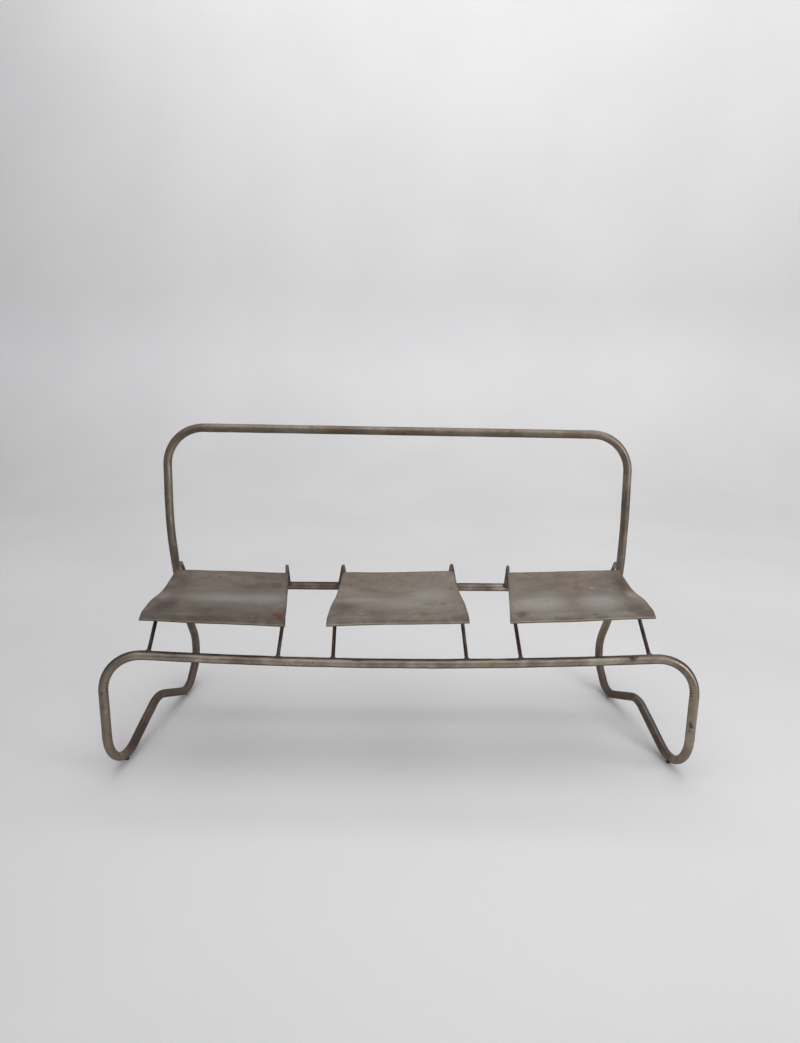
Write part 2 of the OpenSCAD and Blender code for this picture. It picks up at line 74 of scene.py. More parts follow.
GLIDES = {"rear_right": (696.574, 467.127), "rear_left": (-696.574, 467.127),
          "front_right": (765.303, 70.507), "front_left": (-765.303, 70.507)}
GLIDE_H, GLIDE_R = 5.0, 6.5


def place(p):
    """millimetres with y behind the rail -> metres in the row frame"""
    p = np.asarray(p, float)
    return (p - np.array([0, Y_MID, 0])) * MM


# --------------------------------------------------------------------------------------------
# curves
# --------------------------------------------------------------------------------------------
def unit(v):
    v = np.asarray(v, float)
    return v / np.linalg.norm(v, axis=-1, keepdims=True)


def rounded(nodes, radii, step, arc_step=None):
    """Points and tangents along a chain of nodes whose corners are rounded by arcs, and the arcs as (s0, s1, centre)."""
    P = [np.array(p, float) for p in nodes]
    arc_step = arc_step or step
    pts, tan, arcs, s = [], [], [], 0.0

    def straight(a, b):
        nonlocal s
        L = np.linalg.norm(b - a)
        n = max(1, int(math.ceil(L / step)))
        for i in range(n):
            pts.append(a + (b - a) * i / n)
            tan.append((b - a) / L)
        s += L

    here = P[0]
    for i in range(1, len(P) - 1):
        u, v = unit(P[i - 1] - P[i]), unit(P[i + 1] - P[i])
        half = math.acos(float(np.clip(u @ v, -1, 1))) / 2
        trim = radii[i] / math.tan(half)
        a, b = P[i] + u * trim, P[i] + v * trim
        straight(here, a)
        c = P[i] + unit(u + v) * radii[i] / math.sin(half)
        w = math.pi - 2 * half
        n = max(2, int(math.ceil(w * radii[i] / arc_step)))
        ea, eb = a - c, b - c
        for k in range(n):
            t = k / n
            q = (math.sin(w - w * t) * ea + math.sin(w * t) * eb) / math.sin(w)
            d = (-math.cos(w - w * t) * ea + math.cos(w * t) * eb) * w / math.sin(w)
            pts.append(c + q)
            tan.append(unit(d))
        arcs.append((s, s + w * radii[i], c))
        s += w * radii[i]
        here = b
    straight(here, P[-1])
    pts.append(P[-1])
    tan.append(unit(P[-1] - P[-2]))
    pts, tan = np.array(pts), np.array(tan)
    run = np.concatenate([[0], np.cumsum(np.linalg.norm(np.diff(pts, axis=0), axis=1))])
    return pts, tan, run, arcs


def carried(tan, first):
    """Cross directions carried along a curve without twist."""
    n = np.zeros_like(tan)
    f = np.array(first, float)
    n[0] = unit(f - tan[0] * (f @ tan[0]))
    for i in range(1, len(tan)):
        v = n[i - 1] - tan[i] * (n[i - 1] @ tan[i])
        n[i] = unit(v)
    return n


def mesh_object(name, verts, faces, attrs=None, smooth=True):
    me = bpy.data.meshes.new(name)
    me.from_pydata([tuple(v) for v in verts], [], [tuple(int(i) for i in f) for f in faces])
    me.validate(clean_customdata=False)
    me.update()
    for key, val in (attrs or {}).items():
        val = np.asarray(val, np.float32)
        if val.ndim == 2:
            a = me.attributes.new(key, "FLOAT_VECTOR", "POINT")
            a.data.foreach_set("vector", val.ravel())
        else:
            a = me.attributes.new(key, "FLOAT", "POINT")
            a.data.foreach_set("value", val)
    if smooth:
        me.polygons.foreach_set("use_smooth", [True] * len(me.polygons))
    ob = bpy.data.objects.new(name, me)
    bpy.context.scene.collection.objects.link(ob)
    return ob


def grid_faces(rows, cols, closed_cols=True, closed_rows=False):
    i = np.arange(rows if closed_rows else rows - 1)[:, None]
    j = np.arange(cols if closed_cols else cols - 1)[None, :]
    i2, j2 = (i + 1) % rows, (j + 1) % cols
    return np.stack([i * cols + j, i * cols + j2, i2 * cols + j2, i2 * cols + j], -1).reshape(-1, 4)


def swept(pts, tan, run, r, seg, first=(0, 0, 1), swell=None):
    """Rings around a curve. swell(point, outward, run, tangent) gives each vertex's extra radius. Returns vertices, outward directions and the flow coordinate."""
    N = carried(tan, first)
    B = np.cross(tan, N)
    a = np.arange(seg) * 2 * math.pi / seg
    out = N[:, None, :] * np.cos(a)[None, :, None] + B[:, None, :] * np.sin(a)[None, :, None]
    rad = np.full((len(pts), seg), float(r)) if np.isscalar(r) else np.repeat(np.asarray(r, float)[:, None], seg, 1)
    centre = np.repeat(pts[:, None, :], seg, 1)
    if swell is not None:
        rad = rad + swell(centre, out, np.repeat(run[:, None], seg, 1), np.repeat(tan[:, None, :], seg, 1))
    v = centre + out * rad[..., None]
    flow = np.stack([np.repeat(run[:, None], seg, 1), rad * np.cos(a)[None], rad * np.sin(a)[None]], -1) * MM
    return v, out, flow


rng = np.random.default_rng(7)


class Waves:
    """A smooth, seeded field in space: a sum of plane waves. size is the length of its features in mm."""

    def __init__(self, seed, size, n=14):
        g = np.random.default_rng(seed)
        d = unit(g.normal(size=(n, 3)))
        self.k = d * (2 * math.pi / (size * g.uniform(0.7, 1.6, (n, 1))))
        self.ph = g.uniform(0, 2 * math.pi, n)
        self.n = n

    def __call__(self, p):
        q = np.tensordot(p, self.k.T, 1) + self.ph
        return np.sin(q).sum(-1) / math.sqrt(self.n / 2.0)


def blobs(p, spots):
    """Sum of soft spots: each is (x, y, z, radius, strength) in mm, y behind the rail."""
    out = np.zeros(p.shape[:-1])
    for x, y, z, r, a in spots:
        d2 = ((p - np.array([x, y, z])) ** 2).sum(-1)
        out += a * np.exp(-d2 / (r * r))
    return out


# --------------------------------------------------------------------------------------------
# materials
# --------------------------------------------------------------------------------------------
class Tree:
    def __init__(self, name):
        self.mat = bpy.data.materials.new(name)
        self.mat.use_nodes = True
        self.t = self.mat.node_tree
        self.t.nodes.clear()
        self.out = self.t.nodes.new("ShaderNodeOutputMaterial")
        self.bsdf = self.t.nodes.new("ShaderNodeBsdfPrincipled")
        self.t.links.new(self.bsdf.outputs[0], self.out.inputs[0])

    def put(self, socket, value):
        if isinstance(value, bpy.types.NodeSocket):
            self.t.links.new(value, socket)
        elif value is not None:
            if socket.type == "RGBA" and len(value) == 3:
                value = (*value, 1.0)
            socket.default_value = value

    def attr(self, name, vector=False):
        n = self.t.nodes.new("ShaderNodeAttribute")
        n.attribute_name = name
        return n.outputs["Vector" if vector else "Fac"]

    def coords(self, kind="Object"):
        return self.t.nodes.new("ShaderNodeTexCoord").outputs[kind]

    def scaled(self, vec, scale, move=(0, 0, 0)):
        n = self.t.nodes.new("ShaderNodeMapping")
        self.put(n.inputs["Vector"], vec)
        n.inputs["Scale"].default_value = scale
        n.inputs["Location"].default_value = move
        return n.outputs[0]

    def noise(self, vec, scale, detail=3.0, rough=0.55, warp=0.0, lac=2.0):
        n = self.t.nodes.new("ShaderNodeTexNoise")
        self.put(n.inputs["Vector"], vec)
        n.inputs["Scale"].default_value = scale
        n.inputs["Detail"].default_value = detail
        n.inputs["Roughness"].default_value = rough
        n.inputs["Lacunarity"].default_value = lac
        n.inputs["Distortion"].default_value = warp
        return n.outputs["Fac"]

    def cells(self, vec, scale, rand=1.0, what="Distance", feature="F1"):
        n = self.t.nodes.new("ShaderNodeTexVoronoi")
        n.feature = feature
        self.put(n.inputs["Vector"], vec)
        n.inputs["Scale"].default_value = scale
        n.inputs["Randomness"].default_value = rand
        return n.outputs[what]

    def steps(self, fac, stops, mode="LINEAR"):
        n = self.t.nodes.new("ShaderNodeValToRGB")
        n.color_ramp.interpolation = mode
        e = n.color_ramp.elements
        while len(e) < len(stops):
            e.new(0.5)
        for el, (pos, col) in zip(e, stops):
            el.position = pos
            el.color = (col, col, col, 1) if np.isscalar(col) else (*col, 1)
        self.put(n.inputs[0], fac)
        return n.outputs[0]

    def span(self, v, a, b, c=0.0, d=1.0):
        n = self.t.nodes.new("ShaderNodeMapRange")
        n.interpolation_type = "SMOOTHSTEP"
        self.put(n.inputs[0], v)
        for i, x in zip((1, 2, 3, 4), (a, b, c, d)):
            n.inputs[i].default_value = x
        return n.outputs[0]

    def m(self, op, a, b=None, c=None):
        n = self.t.nodes.new("ShaderNodeMath")
        n.operation = op
        self.put(n.inputs[0], a)
        if b is not None:
            self.put(n.inputs[1], b)
        if c is not None:
            self.put(n.inputs[2], c)
        return n.outputs[0]

    def clamp(self, a):
        n = self.t.nodes.new("ShaderNodeClamp")
        self.put(n.inputs[0], a)
        return n.outputs[0]

    def mix(self, fac, a, b, how="MIX"):
        n = self.t.nodes.new("ShaderNodeMix")
        n.data_type = "RGBA"
        n.blend_type = how
        self.put(n.inputs[0], fac)
        self.put(n.inputs[6], a)
        self.put(n.inputs[7], b)
        return n.outputs[2]

    def tone(self, col, value):
        n = self.t.nodes.new("ShaderNodeHueSaturation")
        self.put(n.inputs["Color"], col)
        self.put(n.inputs["Value"], value)
        return n.outputs[0]

    def bump(self, height, dist, strength=1.0, normal=None):
        n = self.t.nodes.new("ShaderNodeBump")
        n.inputs["Distance"].default_value = dist
        n.inputs["Strength"].default_value = strength
        self.put(n.inputs["Height"], height)
        if normal is not None:
            self.put(n.inputs["Normal"], normal)
        return n.outputs[0]


def pits_of(t, vec, scale, share, seed, soft=0.35, most=0.30):
    """Sparse round specks: 1 in a speck. share is the share of cells that hold one."""
    v = t.scaled(vec, (1, 1, 1), seed)
    wob = t.t.nodes.new("ShaderNodeTexNoise")
    t.put(wob.inputs["Vector"], v)
    wob.inputs["Scale"].default_value = scale * 2.6
    wob.inputs["Detail"].default_value = 3
    add = t.t.nodes.new("ShaderNodeVectorMath")
    add.operation = "MULTIPLY_ADD"
    t.put(add.inputs[0], wob.outputs["Color"])
    add.inputs[1].default_value = (0.55 / scale,) * 3
    t.put(add.inputs[2], v)
    n = t.t.nodes.new("ShaderNodeTexVoronoi")
    t.put(n.inputs["Vector"], add.outputs[0])
    n.inputs["Scale"].default_value = scale
    sep = t.t.nodes.new("ShaderNodeSeparateColor")
    t.put(sep.inputs[0], n.outputs["Color"])
    size = t.span(sep.outputs[0], 1 - share, 1.0, 0.0, most)
    gap = t.m("SUBTRACT", size, n.outputs["Distance"])
    return t.span(gap, 0.0, soft * 0.3)


MASKS = ("grey", "brown", "violet", "olive", "rust", "dark", "wear")


def aged_steel(name, dark, light, flow, warm=(0.165, 0.070, 0.042), grey=(0.36, 0.335, 0.312), violet=(0.150, 0.112, 0.108), olive=(0.235, 0.192, 0.128),
               rough=(0.36, 0.56), metallic=0.86, streak=(0.22, 1, 1), scale=1.0, mottle=1.0, pits=1.0, rust_even=0.0, edge=(0.62, 0.58, 0.54)):
    """Bare steel with an old patina. dark and light are the two tones that its clouds run between. flow is True where the coordinates run along the piece."""
    t = Tree(name)
    O = t.coords("Object")
    F = t.attr("flow", True) if flow else O
    # clouds, streaks and grain
    big = t.noise(O, 6.5 * scale, 4, 0.6, 0.6)
    cloud = t.noise(t.scaled(O, (1, 1, 1), (5, 2, 7)), 24 * scale, 5, 0.62, 0.7)
    mid = t.noise(t.scaled(F, streak, (3.1, 0.2, 0.7)), 58 * scale, 6, 0.62, 0.4)
    fine = t.noise(O, 320 * scale, 5, 0.6)
    lines = t.noise(t.scaled(F, (streak[0] * 0.25, 4.5 * streak[1], 4.5 * streak[2]), (0.4, 5, 1)), 130 * scale, 3, 0.6)
    k = t.m("ADD", t.span(big, 0.3, 0.7, 0, 0.40), t.span(mid, 0.3, 0.72, 0, 0.25))
    k = t.m("ADD", k, t.span(cloud, 0.3, 0.7, 0, 0.35))
    col = t.mix(k, dark, light)
    # olive and violet-brown shifts
    hue = t.noise(t.scaled(O, (1, 1, 1), (9, 4, 2)), 13 * scale, 4, 0.62, 0.8)
    hue2 = t.noise(t.scaled(O, (1, 1, 1), (1, 14, 6)), 38 * scale, 4, 0.6, 0.8)
    mean = [(a + b) / 2 for a, b in zip(dark, light)]
    shift_olive = (mean[0] * 1.00, mean[1] * 1.03, mean[2] * 0.86)
    shift_violet = (mean[0] * 0.93, mean[1] * 0.83, mean[2] * 0.92)
    col = t.mix(t.span(hue, 0.52, 0.72, 0, 0.42 * mottle), col, shift_olive)
    col = t.mix(t.span(hue, 0.47, 0.28, 0, 0.50 * mottle), col, shift_violet)
    col = t.mix(t.span(hue2, 0.54, 0.70, 0, 0.30 * mottle), col, shift_violet)
    col = t.mix(t.span(hue2, 0.44, 0.30, 0, 0.26 * mottle), col, shift_olive)
    # painted in masks, with ragged edges; the grey mask also carries painted sheen, the wear mask painted highlights,
    # the dark mask painted shade
    m = {n: t.attr(n) for n in MASKS}
    ragged = t.noise(t.scaled(F, streak, (1, 7, 3)), 70 * scale, 5, 0.65)
    rag = t.span(ragged, 0.27, 0.73, 0.50, 1.22)
    rag2 = t.span(cloud, 0.27, 0.73, 1.20, 0.55)

    def laid(col, key, tint, how=rag, most=1.0):
        return t.mix(t.m("MINIMUM", t.clamp(t.m("MULTIPLY", m[key], how)), most), col, tint)

    col = laid(col, "grey", grey, rag2)
    col = laid(col, "brown", (dark[0] * 0.98, dark[1] * 0.88, dark[2] * 0.80), rag, 0.85)
    col = laid(col, "violet", violet, rag2, 0.9)
    col = laid(col, "olive", olive, rag, 0.9)
    rust_cloud = t.m("MULTIPLY", t.span(t.noise(t.scaled(O, (1, 1, 1), (2, 9, 5)), 30 * scale, 6, 0.68, 0.5), 0.60, 0.80), 0.22 + rust_even)
    rust = t.clamp(t.m("ADD", t.m("MULTIPLY", m["rust"], rag2), rust_cloud))
    col = t.mix(rust, col, warm)
    # worn, brighter scuffs, and the painted highlights of the wear mask
    scuff = t.m("MULTIPLY", t.span(t.noise(t.scaled(F, (streak[0] * 0.6, 2.4 * streak[1], 2.4 * streak[2]), (8, 1, 4)), 95 * scale, 5, 0.7), 0.62, 0.78), 0.30)
    wear = t.clamp(t.m("ADD", m["wear"], scuff))
    col = t.mix(t.m("MULTIPLY", wear, 0.6), col, (0.60, 0.56, 0.50))
    # specks
    p1 = pits_of(t, O, 120 * scale, 0.05 * pits, (4, 2, 8))
    p2 = t.m("MULTIPLY", pits_of(t, O, 290 * scale, 0.07 * pits, (1, 6, 3)), 0.7)
    pit = t.clamp(t.m("ADD", p1, p2))
    halo = t.m("MULTIPLY", pits_of(t, O, 120 * scale, 0.05 * pits, (4, 2, 8), 1.3, 0.55), 0.30)
    col = t.mix(halo, col, (warm[0] * 0.8, warm[1] * 0.85, warm[2] * 0.9))
    col = t.mix(t.m("MULTIPLY", pit, 0.7), col, (0.045, 0.034, 0.028))
    # small tone changes, and the overall one, which carries painted light and shade
    tone = t.m("ADD", t.m("MULTIPLY", t.span(fine, 0.25, 0.75, -1, 1), 0.13), 1.0)
    tone = t.m("ADD", tone, t.m("MULTIPLY", t.span(lines, 0.3, 0.7, -1, 1), 0.06))
    tone = t.m("MULTIPLY", tone, t.m("ADD", t.attr("shade"), 1.0))
    col = t.tone(col, tone)
    black = t.clamp(t.m("MULTIPLY", m["dark"], t.span(ragged, 0.27, 0.73, 0.75, 1.15)))
    col = t.mix(black, col, (0.026, 0.019, 0.015))
    t.put(t.bsdf.inputs["Base Color"], col)
    # the dark mask, real marks and painted shade alike, and rust are not metal
    dull = t.clamp(t.m("ADD", t.m("MULTIPLY", black, 1.0), t.m("MULTIPLY", rust, 0.35)))
    t.put(t.bsdf.inputs["Metallic"], t.m("MULTIPLY", t.m("SUBTRACT", 1.0, dull), metallic))
    t.bsdf.inputs["Specular Tint"].default_value = (*edge, 1.0)
    t.bsdf.inputs["Specular IOR Level"].default_value = 0.25
    # roughness
    r = t.m("ADD", t.span(mid, 0.25, 0.75, rough[0], rough[1]), t.m("MULTIPLY", t.span(fine, 0.3, 0.7, -1, 1), 0.05))
    r = t.m("ADD", r, t.m("MULTIPLY", rust, 0.2))
    r = t.m("ADD", r, t.m("MULTIPLY", pit, 0.25))
    r = t.m("ADD", r, t.m("MULTIPLY", black, 0.35))
    r = t.m("SUBTRACT", r, t.m("MULTIPLY", wear, 0.06))
    r = t.m("SUBTRACT", r, t.m("MULTIPLY", m["grey"], 0.05))
    t.put(t.bsdf.inputs["Roughness"], t.clamp(r))
    # relief
    h = t.m("ADD", t.m("MULTIPLY", fine, 0.35), t.m("MULTIPLY", lines, 0.22))
    h = t.m("ADD", h, t.m("MULTIPLY", ragged, 0.5))
    h = t.m("SUBTRACT", h, t.m("MULTIPLY", pit, 1.0))
    h = t.m("ADD", h, t.m("MULTIPLY", rust, t.m("MULTIPLY", fine, 0.9)))
    t.put(t.bsdf.inputs["Normal"], t.bump(h, 0.0002, 0.5))
    return t.mat


tube_steel = aged_steel("tube_steel", (0.104, 0.083, 0.067), (0.335, 0.288, 0.238), True)
seat_steel = aged_steel("seat_steel", (0.172, 0.140, 0.118), (0.376, 0.333, 0.290), False, grey=(0.43, 0.418, 0.400), streak=(0.35, 1, 1), rough=(0.34, 0.50), pits=1.1)
rod_steel = aged_steel("rod_steel", (0.050, 0.034, 0.028), (0.120, 0.090, 0.074), True, warm=(0.115, 0.056, 0.038), violet=(0.070, 0.050, 0.047), rough=(0.46, 0.66), metallic=0.7, rust_even=0.06, edge=(0.5, 0.45, 0.42))
weld_steel = aged_steel("weld_steel", (0.075, 0.055, 0.042), (0.170, 0.138, 0.105), False, rough=(0.42, 0.66), metallic=0.8, scale=1.6)


def rubber(name, dark, light, dusty):
    t = Tree(name)
    O = t.coords("Object")
    n = t.noise(O, 420, 5, 0.6)
    dust = t.span(t.noise(O, 90, 4, 0.6), 0.55, 0.8, 0, 0.35)
    col = t.mix(dust, t.mix(n, dark, light), dusty)
    t.put(t.bsdf.inputs["Base Color"], col)
    t.put(t.bsdf.inputs["Roughness"], t.span(n, 0.2, 0.8, 0.5, 0.78))
    t.put(t.bsdf.inputs["Normal"], t.bump(n, 0.0002, 0.5))
    return t.mat


black_rubber = rubber("black_rubber", (0.006, 0.006, 0.006), (0.016, 0.015, 0.014), (0.05, 0.046, 0.042))
grey_rubber = rubber("grey_rubber", (0.23, 0.225, 0.22), (0.31, 0.30, 0.295), (0.38, 0.37, 0.36))


def add_masks(verts, **masks):
    n = len(verts)
    out = {}
    for k in MASKS:
        v = masks.get(k)
        out[k] = np.zeros(n) if v is None else np.clip(np.asarray(v, float).reshape(-1), 0, 1)
    v = masks.get("tone")
    out["shade"] = np.zeros(n) if v is None else np.broadcast_to(np.asarray(v, float), (n,)) - 1.0
    return out


def finish_piece(ob, mat, node):
    ob.data.materials.append(mat)
    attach(ob, "root")
    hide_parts(*([node] if isinstance(node, str) else node))
    return ob


# --------------------------------------------------------------------------------------------
# frame tubes
# --------------------------------------------------------------------------------------------
wave_tone = Waves(3, 160)
wave_small = Waves(11, 34)
wave_dent = Waves(21, 75)
JOINTS = [SIDE_RIGHT[0], SIDE_LEFT[0], SIDE_RIGHT[-1], SIDE_LEFT[-1]]


def tube_piece(name, nodes, radii, creases=(), extra=None):
    pts, tan, run, arcs = rounded(nodes, radii, 6.0, 1.6 if creases else 4.0)
    seg = 48

    def swell(c, out, s, t):
        d = 0.10 * wave_dent(c + out * 12) + 0.05 * wave_small(c + out * 12)
        for i, *depths in creases:  # a tight bend is a little flattened, and wrinkled along its inside
            s0, s1, centre = arcs[i]
            inward = unit(centre - c)
            side = (inward * out).sum(-1)
            m = np.clip((s - s0) / 25, 0, 1) * np.clip((s1 - s) / 25, 0, 1)
            d = d - 0.35 * m * np.abs(side)
            for e, depth in zip((s0 + 15, s1 - 15), depths):
                g = np.exp(-np.abs((s - e) / 20.0) ** 4) * np.clip((side - 0.62) / 0.30, 0, 1)
                d = d + 0.8 * depth * g * (np.sin((s - e) * 2 * math.pi / 8.8) - 0.3)
        for j in JOINTS:
            dist = np.linalg.norm(c - np.array(j), axis=-1)
            d = d - 0.05 * np.exp(-((dist - 9) / 5.0) ** 2)
        return np.minimum(d, 0.25)

    # finer rings where the inside of a bend is wrinkled
    v, out, flow = swept(pts, tan, run, TUBE_R, seg, (0, 0, 1), swell)
    rows = len(pts)
    all_v, all_flow, all_out = [v.reshape(-1, 3)], [flow.reshape(-1, 3)], [out.reshape(-1, 3)]
    faces = [grid_faces(rows, seg)[:, ::-1]]
    base = rows * seg
    for end, sign in ((0, 1), (rows - 1, -1)):
        c, t = pts[end], tan[end] * sign
        ring = out[end]
        last = end * seg + np.arange(seg)
        for r, depth in ((TUBE_R - 0.35, -0.0), (TUBE_RI + 0.25, 0.0), (TUBE_RI, 0.3), (TUBE_RI, 46.0)):
            new = c + ring * r + t * depth
            all_v.append(new)
            all_out.append(ring)
            all_flow.append(np.stack([np.full(seg, (run[end] + depth) * MM), ring[:, 0] * r * MM, ring[:, 2] * r * MM], 1))
            idx = base + np.arange(seg)
            q = np.stack([last, np.roll(last, -1), np.roll(idx, -1), idx], 1)
            faces.append(q if sign > 0 else q[:, ::-1])
            last, base = idx, base + seg
        faces.append([tuple(last if sign > 0 else last[::-1])])
    verts = np.concatenate(all_v)
    outs = np.concatenate(all_out)
    fl = np.concatenate(all_flow)
    up = outs[:, 2]
    # tone of the patina
    brown = 0.24 + 0.24 * wave_tone(verts)
    rust = 0.08 * np.clip(wave_tone(verts + 300) - 0.4, 0, 1)
    wear = 0.12 * np.clip(wave_small(verts) - 0.8, 0, 1)
    grey = 0.12 * np.clip(wave_tone(verts - 500), 0, 1)
    dark = np.zeros(len(verts))
    for j in JOINTS:
        dist = np.linalg.norm(verts - np.array(j), axis=1)
        brown += 0.10 * np.exp(-((dist - 15) / 8.0) ** 2)
    # painted shade in the furrows of the wrinkles along the inside of each tight bend
    for i, *depths in creases:
        s0, s1, centre = arcs[i]
        for e, depth in zip((s0 + 15, s1 - 15), depths):
            inward = unit(centre - verts)
            at = fl[:, 0] / MM - e
            g = np.exp(-np.abs(at / 20.0) ** 4) * np.clip(((inward * outs).sum(1) - 0.50) / 0.20, 0, 1)
            dark += min(1.0, depth * 1.8) * g * np.clip(0.35 - 1.4 * np.sin(at * 2 * math.pi / 8.8), 0, 1)
    look = {"brown": brown, "rust": rust, "wear": wear, "grey": grey, "dark": dark, "tone": np.ones(len(verts))}
    if extra is not None:
        for key, val in extra(verts, outs, up).items():
            look[key] = look[key] * val if key == "tone" else look.get(key, 0) + val
    attrs = add_masks(verts, **look)
    attrs["flow"] = fl
    allf = []
    for f in faces:
        allf.extend([tuple(x) for x in f])
    ob = mesh_object(name, place(verts), allf, attrs)
    mark_sharp(ob, 50)
    return finish_piece(ob, tube_steel, name.replace("_look", ""))


def mark_sharp(ob, angle):
    """Edges steeper than angle keep a crisp line."""
    import bmesh
    bm = bmesh.new()
    bm.from_mesh(ob.data)
    lim = math.radians(angle)
    for e in bm.edges:
        if len(e.link_faces) == 2 and e.calc_face_angle(0) > lim:
            e.smooth = False
    bm.to_mesh(ob.data)
    bm.free()


def rail_look(v, out, up):
    """The front rail: a dark line along the top of its rear side, a painted highlight on its front with a painted
    darker band across its upper front, and a thin painted shaded line below.
    """
    ang = np.degrees(np.arctan2(out[:, 2], -out[:, 1]))          # 0 faces the front, 90 up, 180 back
    x = v[:, 0]
    wobble = 5.0 * wave_small(v * [0.6, 0, 0])
    band = 1 / (1 + np.exp(-(ang - 63 + wobble) / 3.5)) * (ang < 170)
    ends = np.where(x < 0, np.clip((730 + x) / 60, 0, 1), np.clip((640 - x) / 110, 0, 1) * 0.95)
    dark = 0.92 * band * ends * (0.9 + 0.1 * wave_small(v)) + 0.50 * np.exp(-((ang + 62) / 24.0) ** 2) + blobs(v, RAIL_MARKS)
    front = np.clip((60 - ang) / 24, 0, 1) * np.clip((ang + 34) / 16, 0, 1)
    tone = 0.85 + 0.62 * front - 0.25 * np.exp(-((ang - 19) / 7.0) ** 2) * (0.7 + 0.5 * wave_tone(v + 9)) + 0.10 * wave_small(v + 51) * front
    low = np.exp(-((ang + 50) / 24.0) ** 2)
    return {"brown": 0.20 * low, "wear": 0.06 * front * (0.6 + 0.4 * wave_small(v)), "grey": 0.16 * front, "dark": dark,
            "olive": 0.10 + 0.12 * wave_tone(v + 77), "tone": tone}


RAIL_MARKS = [(-565, -8, 350, 5, 0.6), (-383, -10, 342, 4, 0.45), (-110, -10, 336, 6, 0.35), (236, -10, 337, 4, 0.5),
              (606, -8, 355, 6.5, 1.3), (599, -7, 357, 4.5, 1.3), (597, -10, 350, 3, 0.7), (60, -11, 330, 6, 0.3), (430, -11, 340, 4, 0.35),
              (-300, -11, 333, 3.5, 0.5), (-25, -10, 338, 3, 0.5), (330, -9, 344, 3.5, 0.5), (-470, -11, 340, 3, 0.4)]


def upright_look(side, v, out, o):
    """The rear uprights: the left one has a painted highlight streak beside a painted shaded side, the right one is
    painted lighter on its right-hand side; both carry dark marks.
    """
    x, z = out[:, 0], v[:, 2]
    high = np.clip((z - 470) / 60, 0, 1) * np.clip((v[:, 1] - 440) / 30, 0, 1) * np.clip((np.abs(v[:, 0]) - 640) / 40, 0, 1)
    if side < 0:
        run = np.clip((z - 560) / 40, 0, 1) * np.clip((770 - z) / 50, 0, 1)
        streak = np.exp(-((x - 0.42) / 0.20) ** 2) * run * np.clip(0.7 + 0.6 * wave_small(v * [1, 1, 0.6] + 5), 0, 1.3)
        o["wear"] = o.get("wear", 0) + 0.85 * streak * high
        o["grey"] = o.get("grey", 0) + 0.35 * np.exp(-((x - 0.40) / 0.30) ** 2) * high
        o["tone"] = o["tone"] * (1 - 0.28 * high * np.clip(0.35 - x, 0, 1)) * (1 + 0.30 * high * np.exp(-((x - 0.42) / 0.3) ** 2))
        o["dark"] = o["dark"] + blobs(v, [(-713, 484, 668, 5, 0.8), (-716, 486, 655, 4, 0.7), (-709, 482, 642, 4, 0.6), (-713, 484, 690, 3.5, 0.6),
                                          (-708, 482, 622, 3, 0.5), (-704, 481, 648, 3, 0.5)])
    else:
        o["grey"] = o.get("grey", 0) + 0.25 * np.clip(x, 0, 1) * high
        o["tone"] = o["tone"] * (1 + 0.16 * high * np.clip(x + 0.1, 0, 1))
        o["dark"] = o["dark"] + blobs(v, [(699, 484, 640, 4, 0.7), (685, 482, 600, 3, 0.5), (690, 481, 520, 3, 0.5), (682, 484, 455, 4, 0.5), (694, 481, 560, 3, 0.4)])
    return o


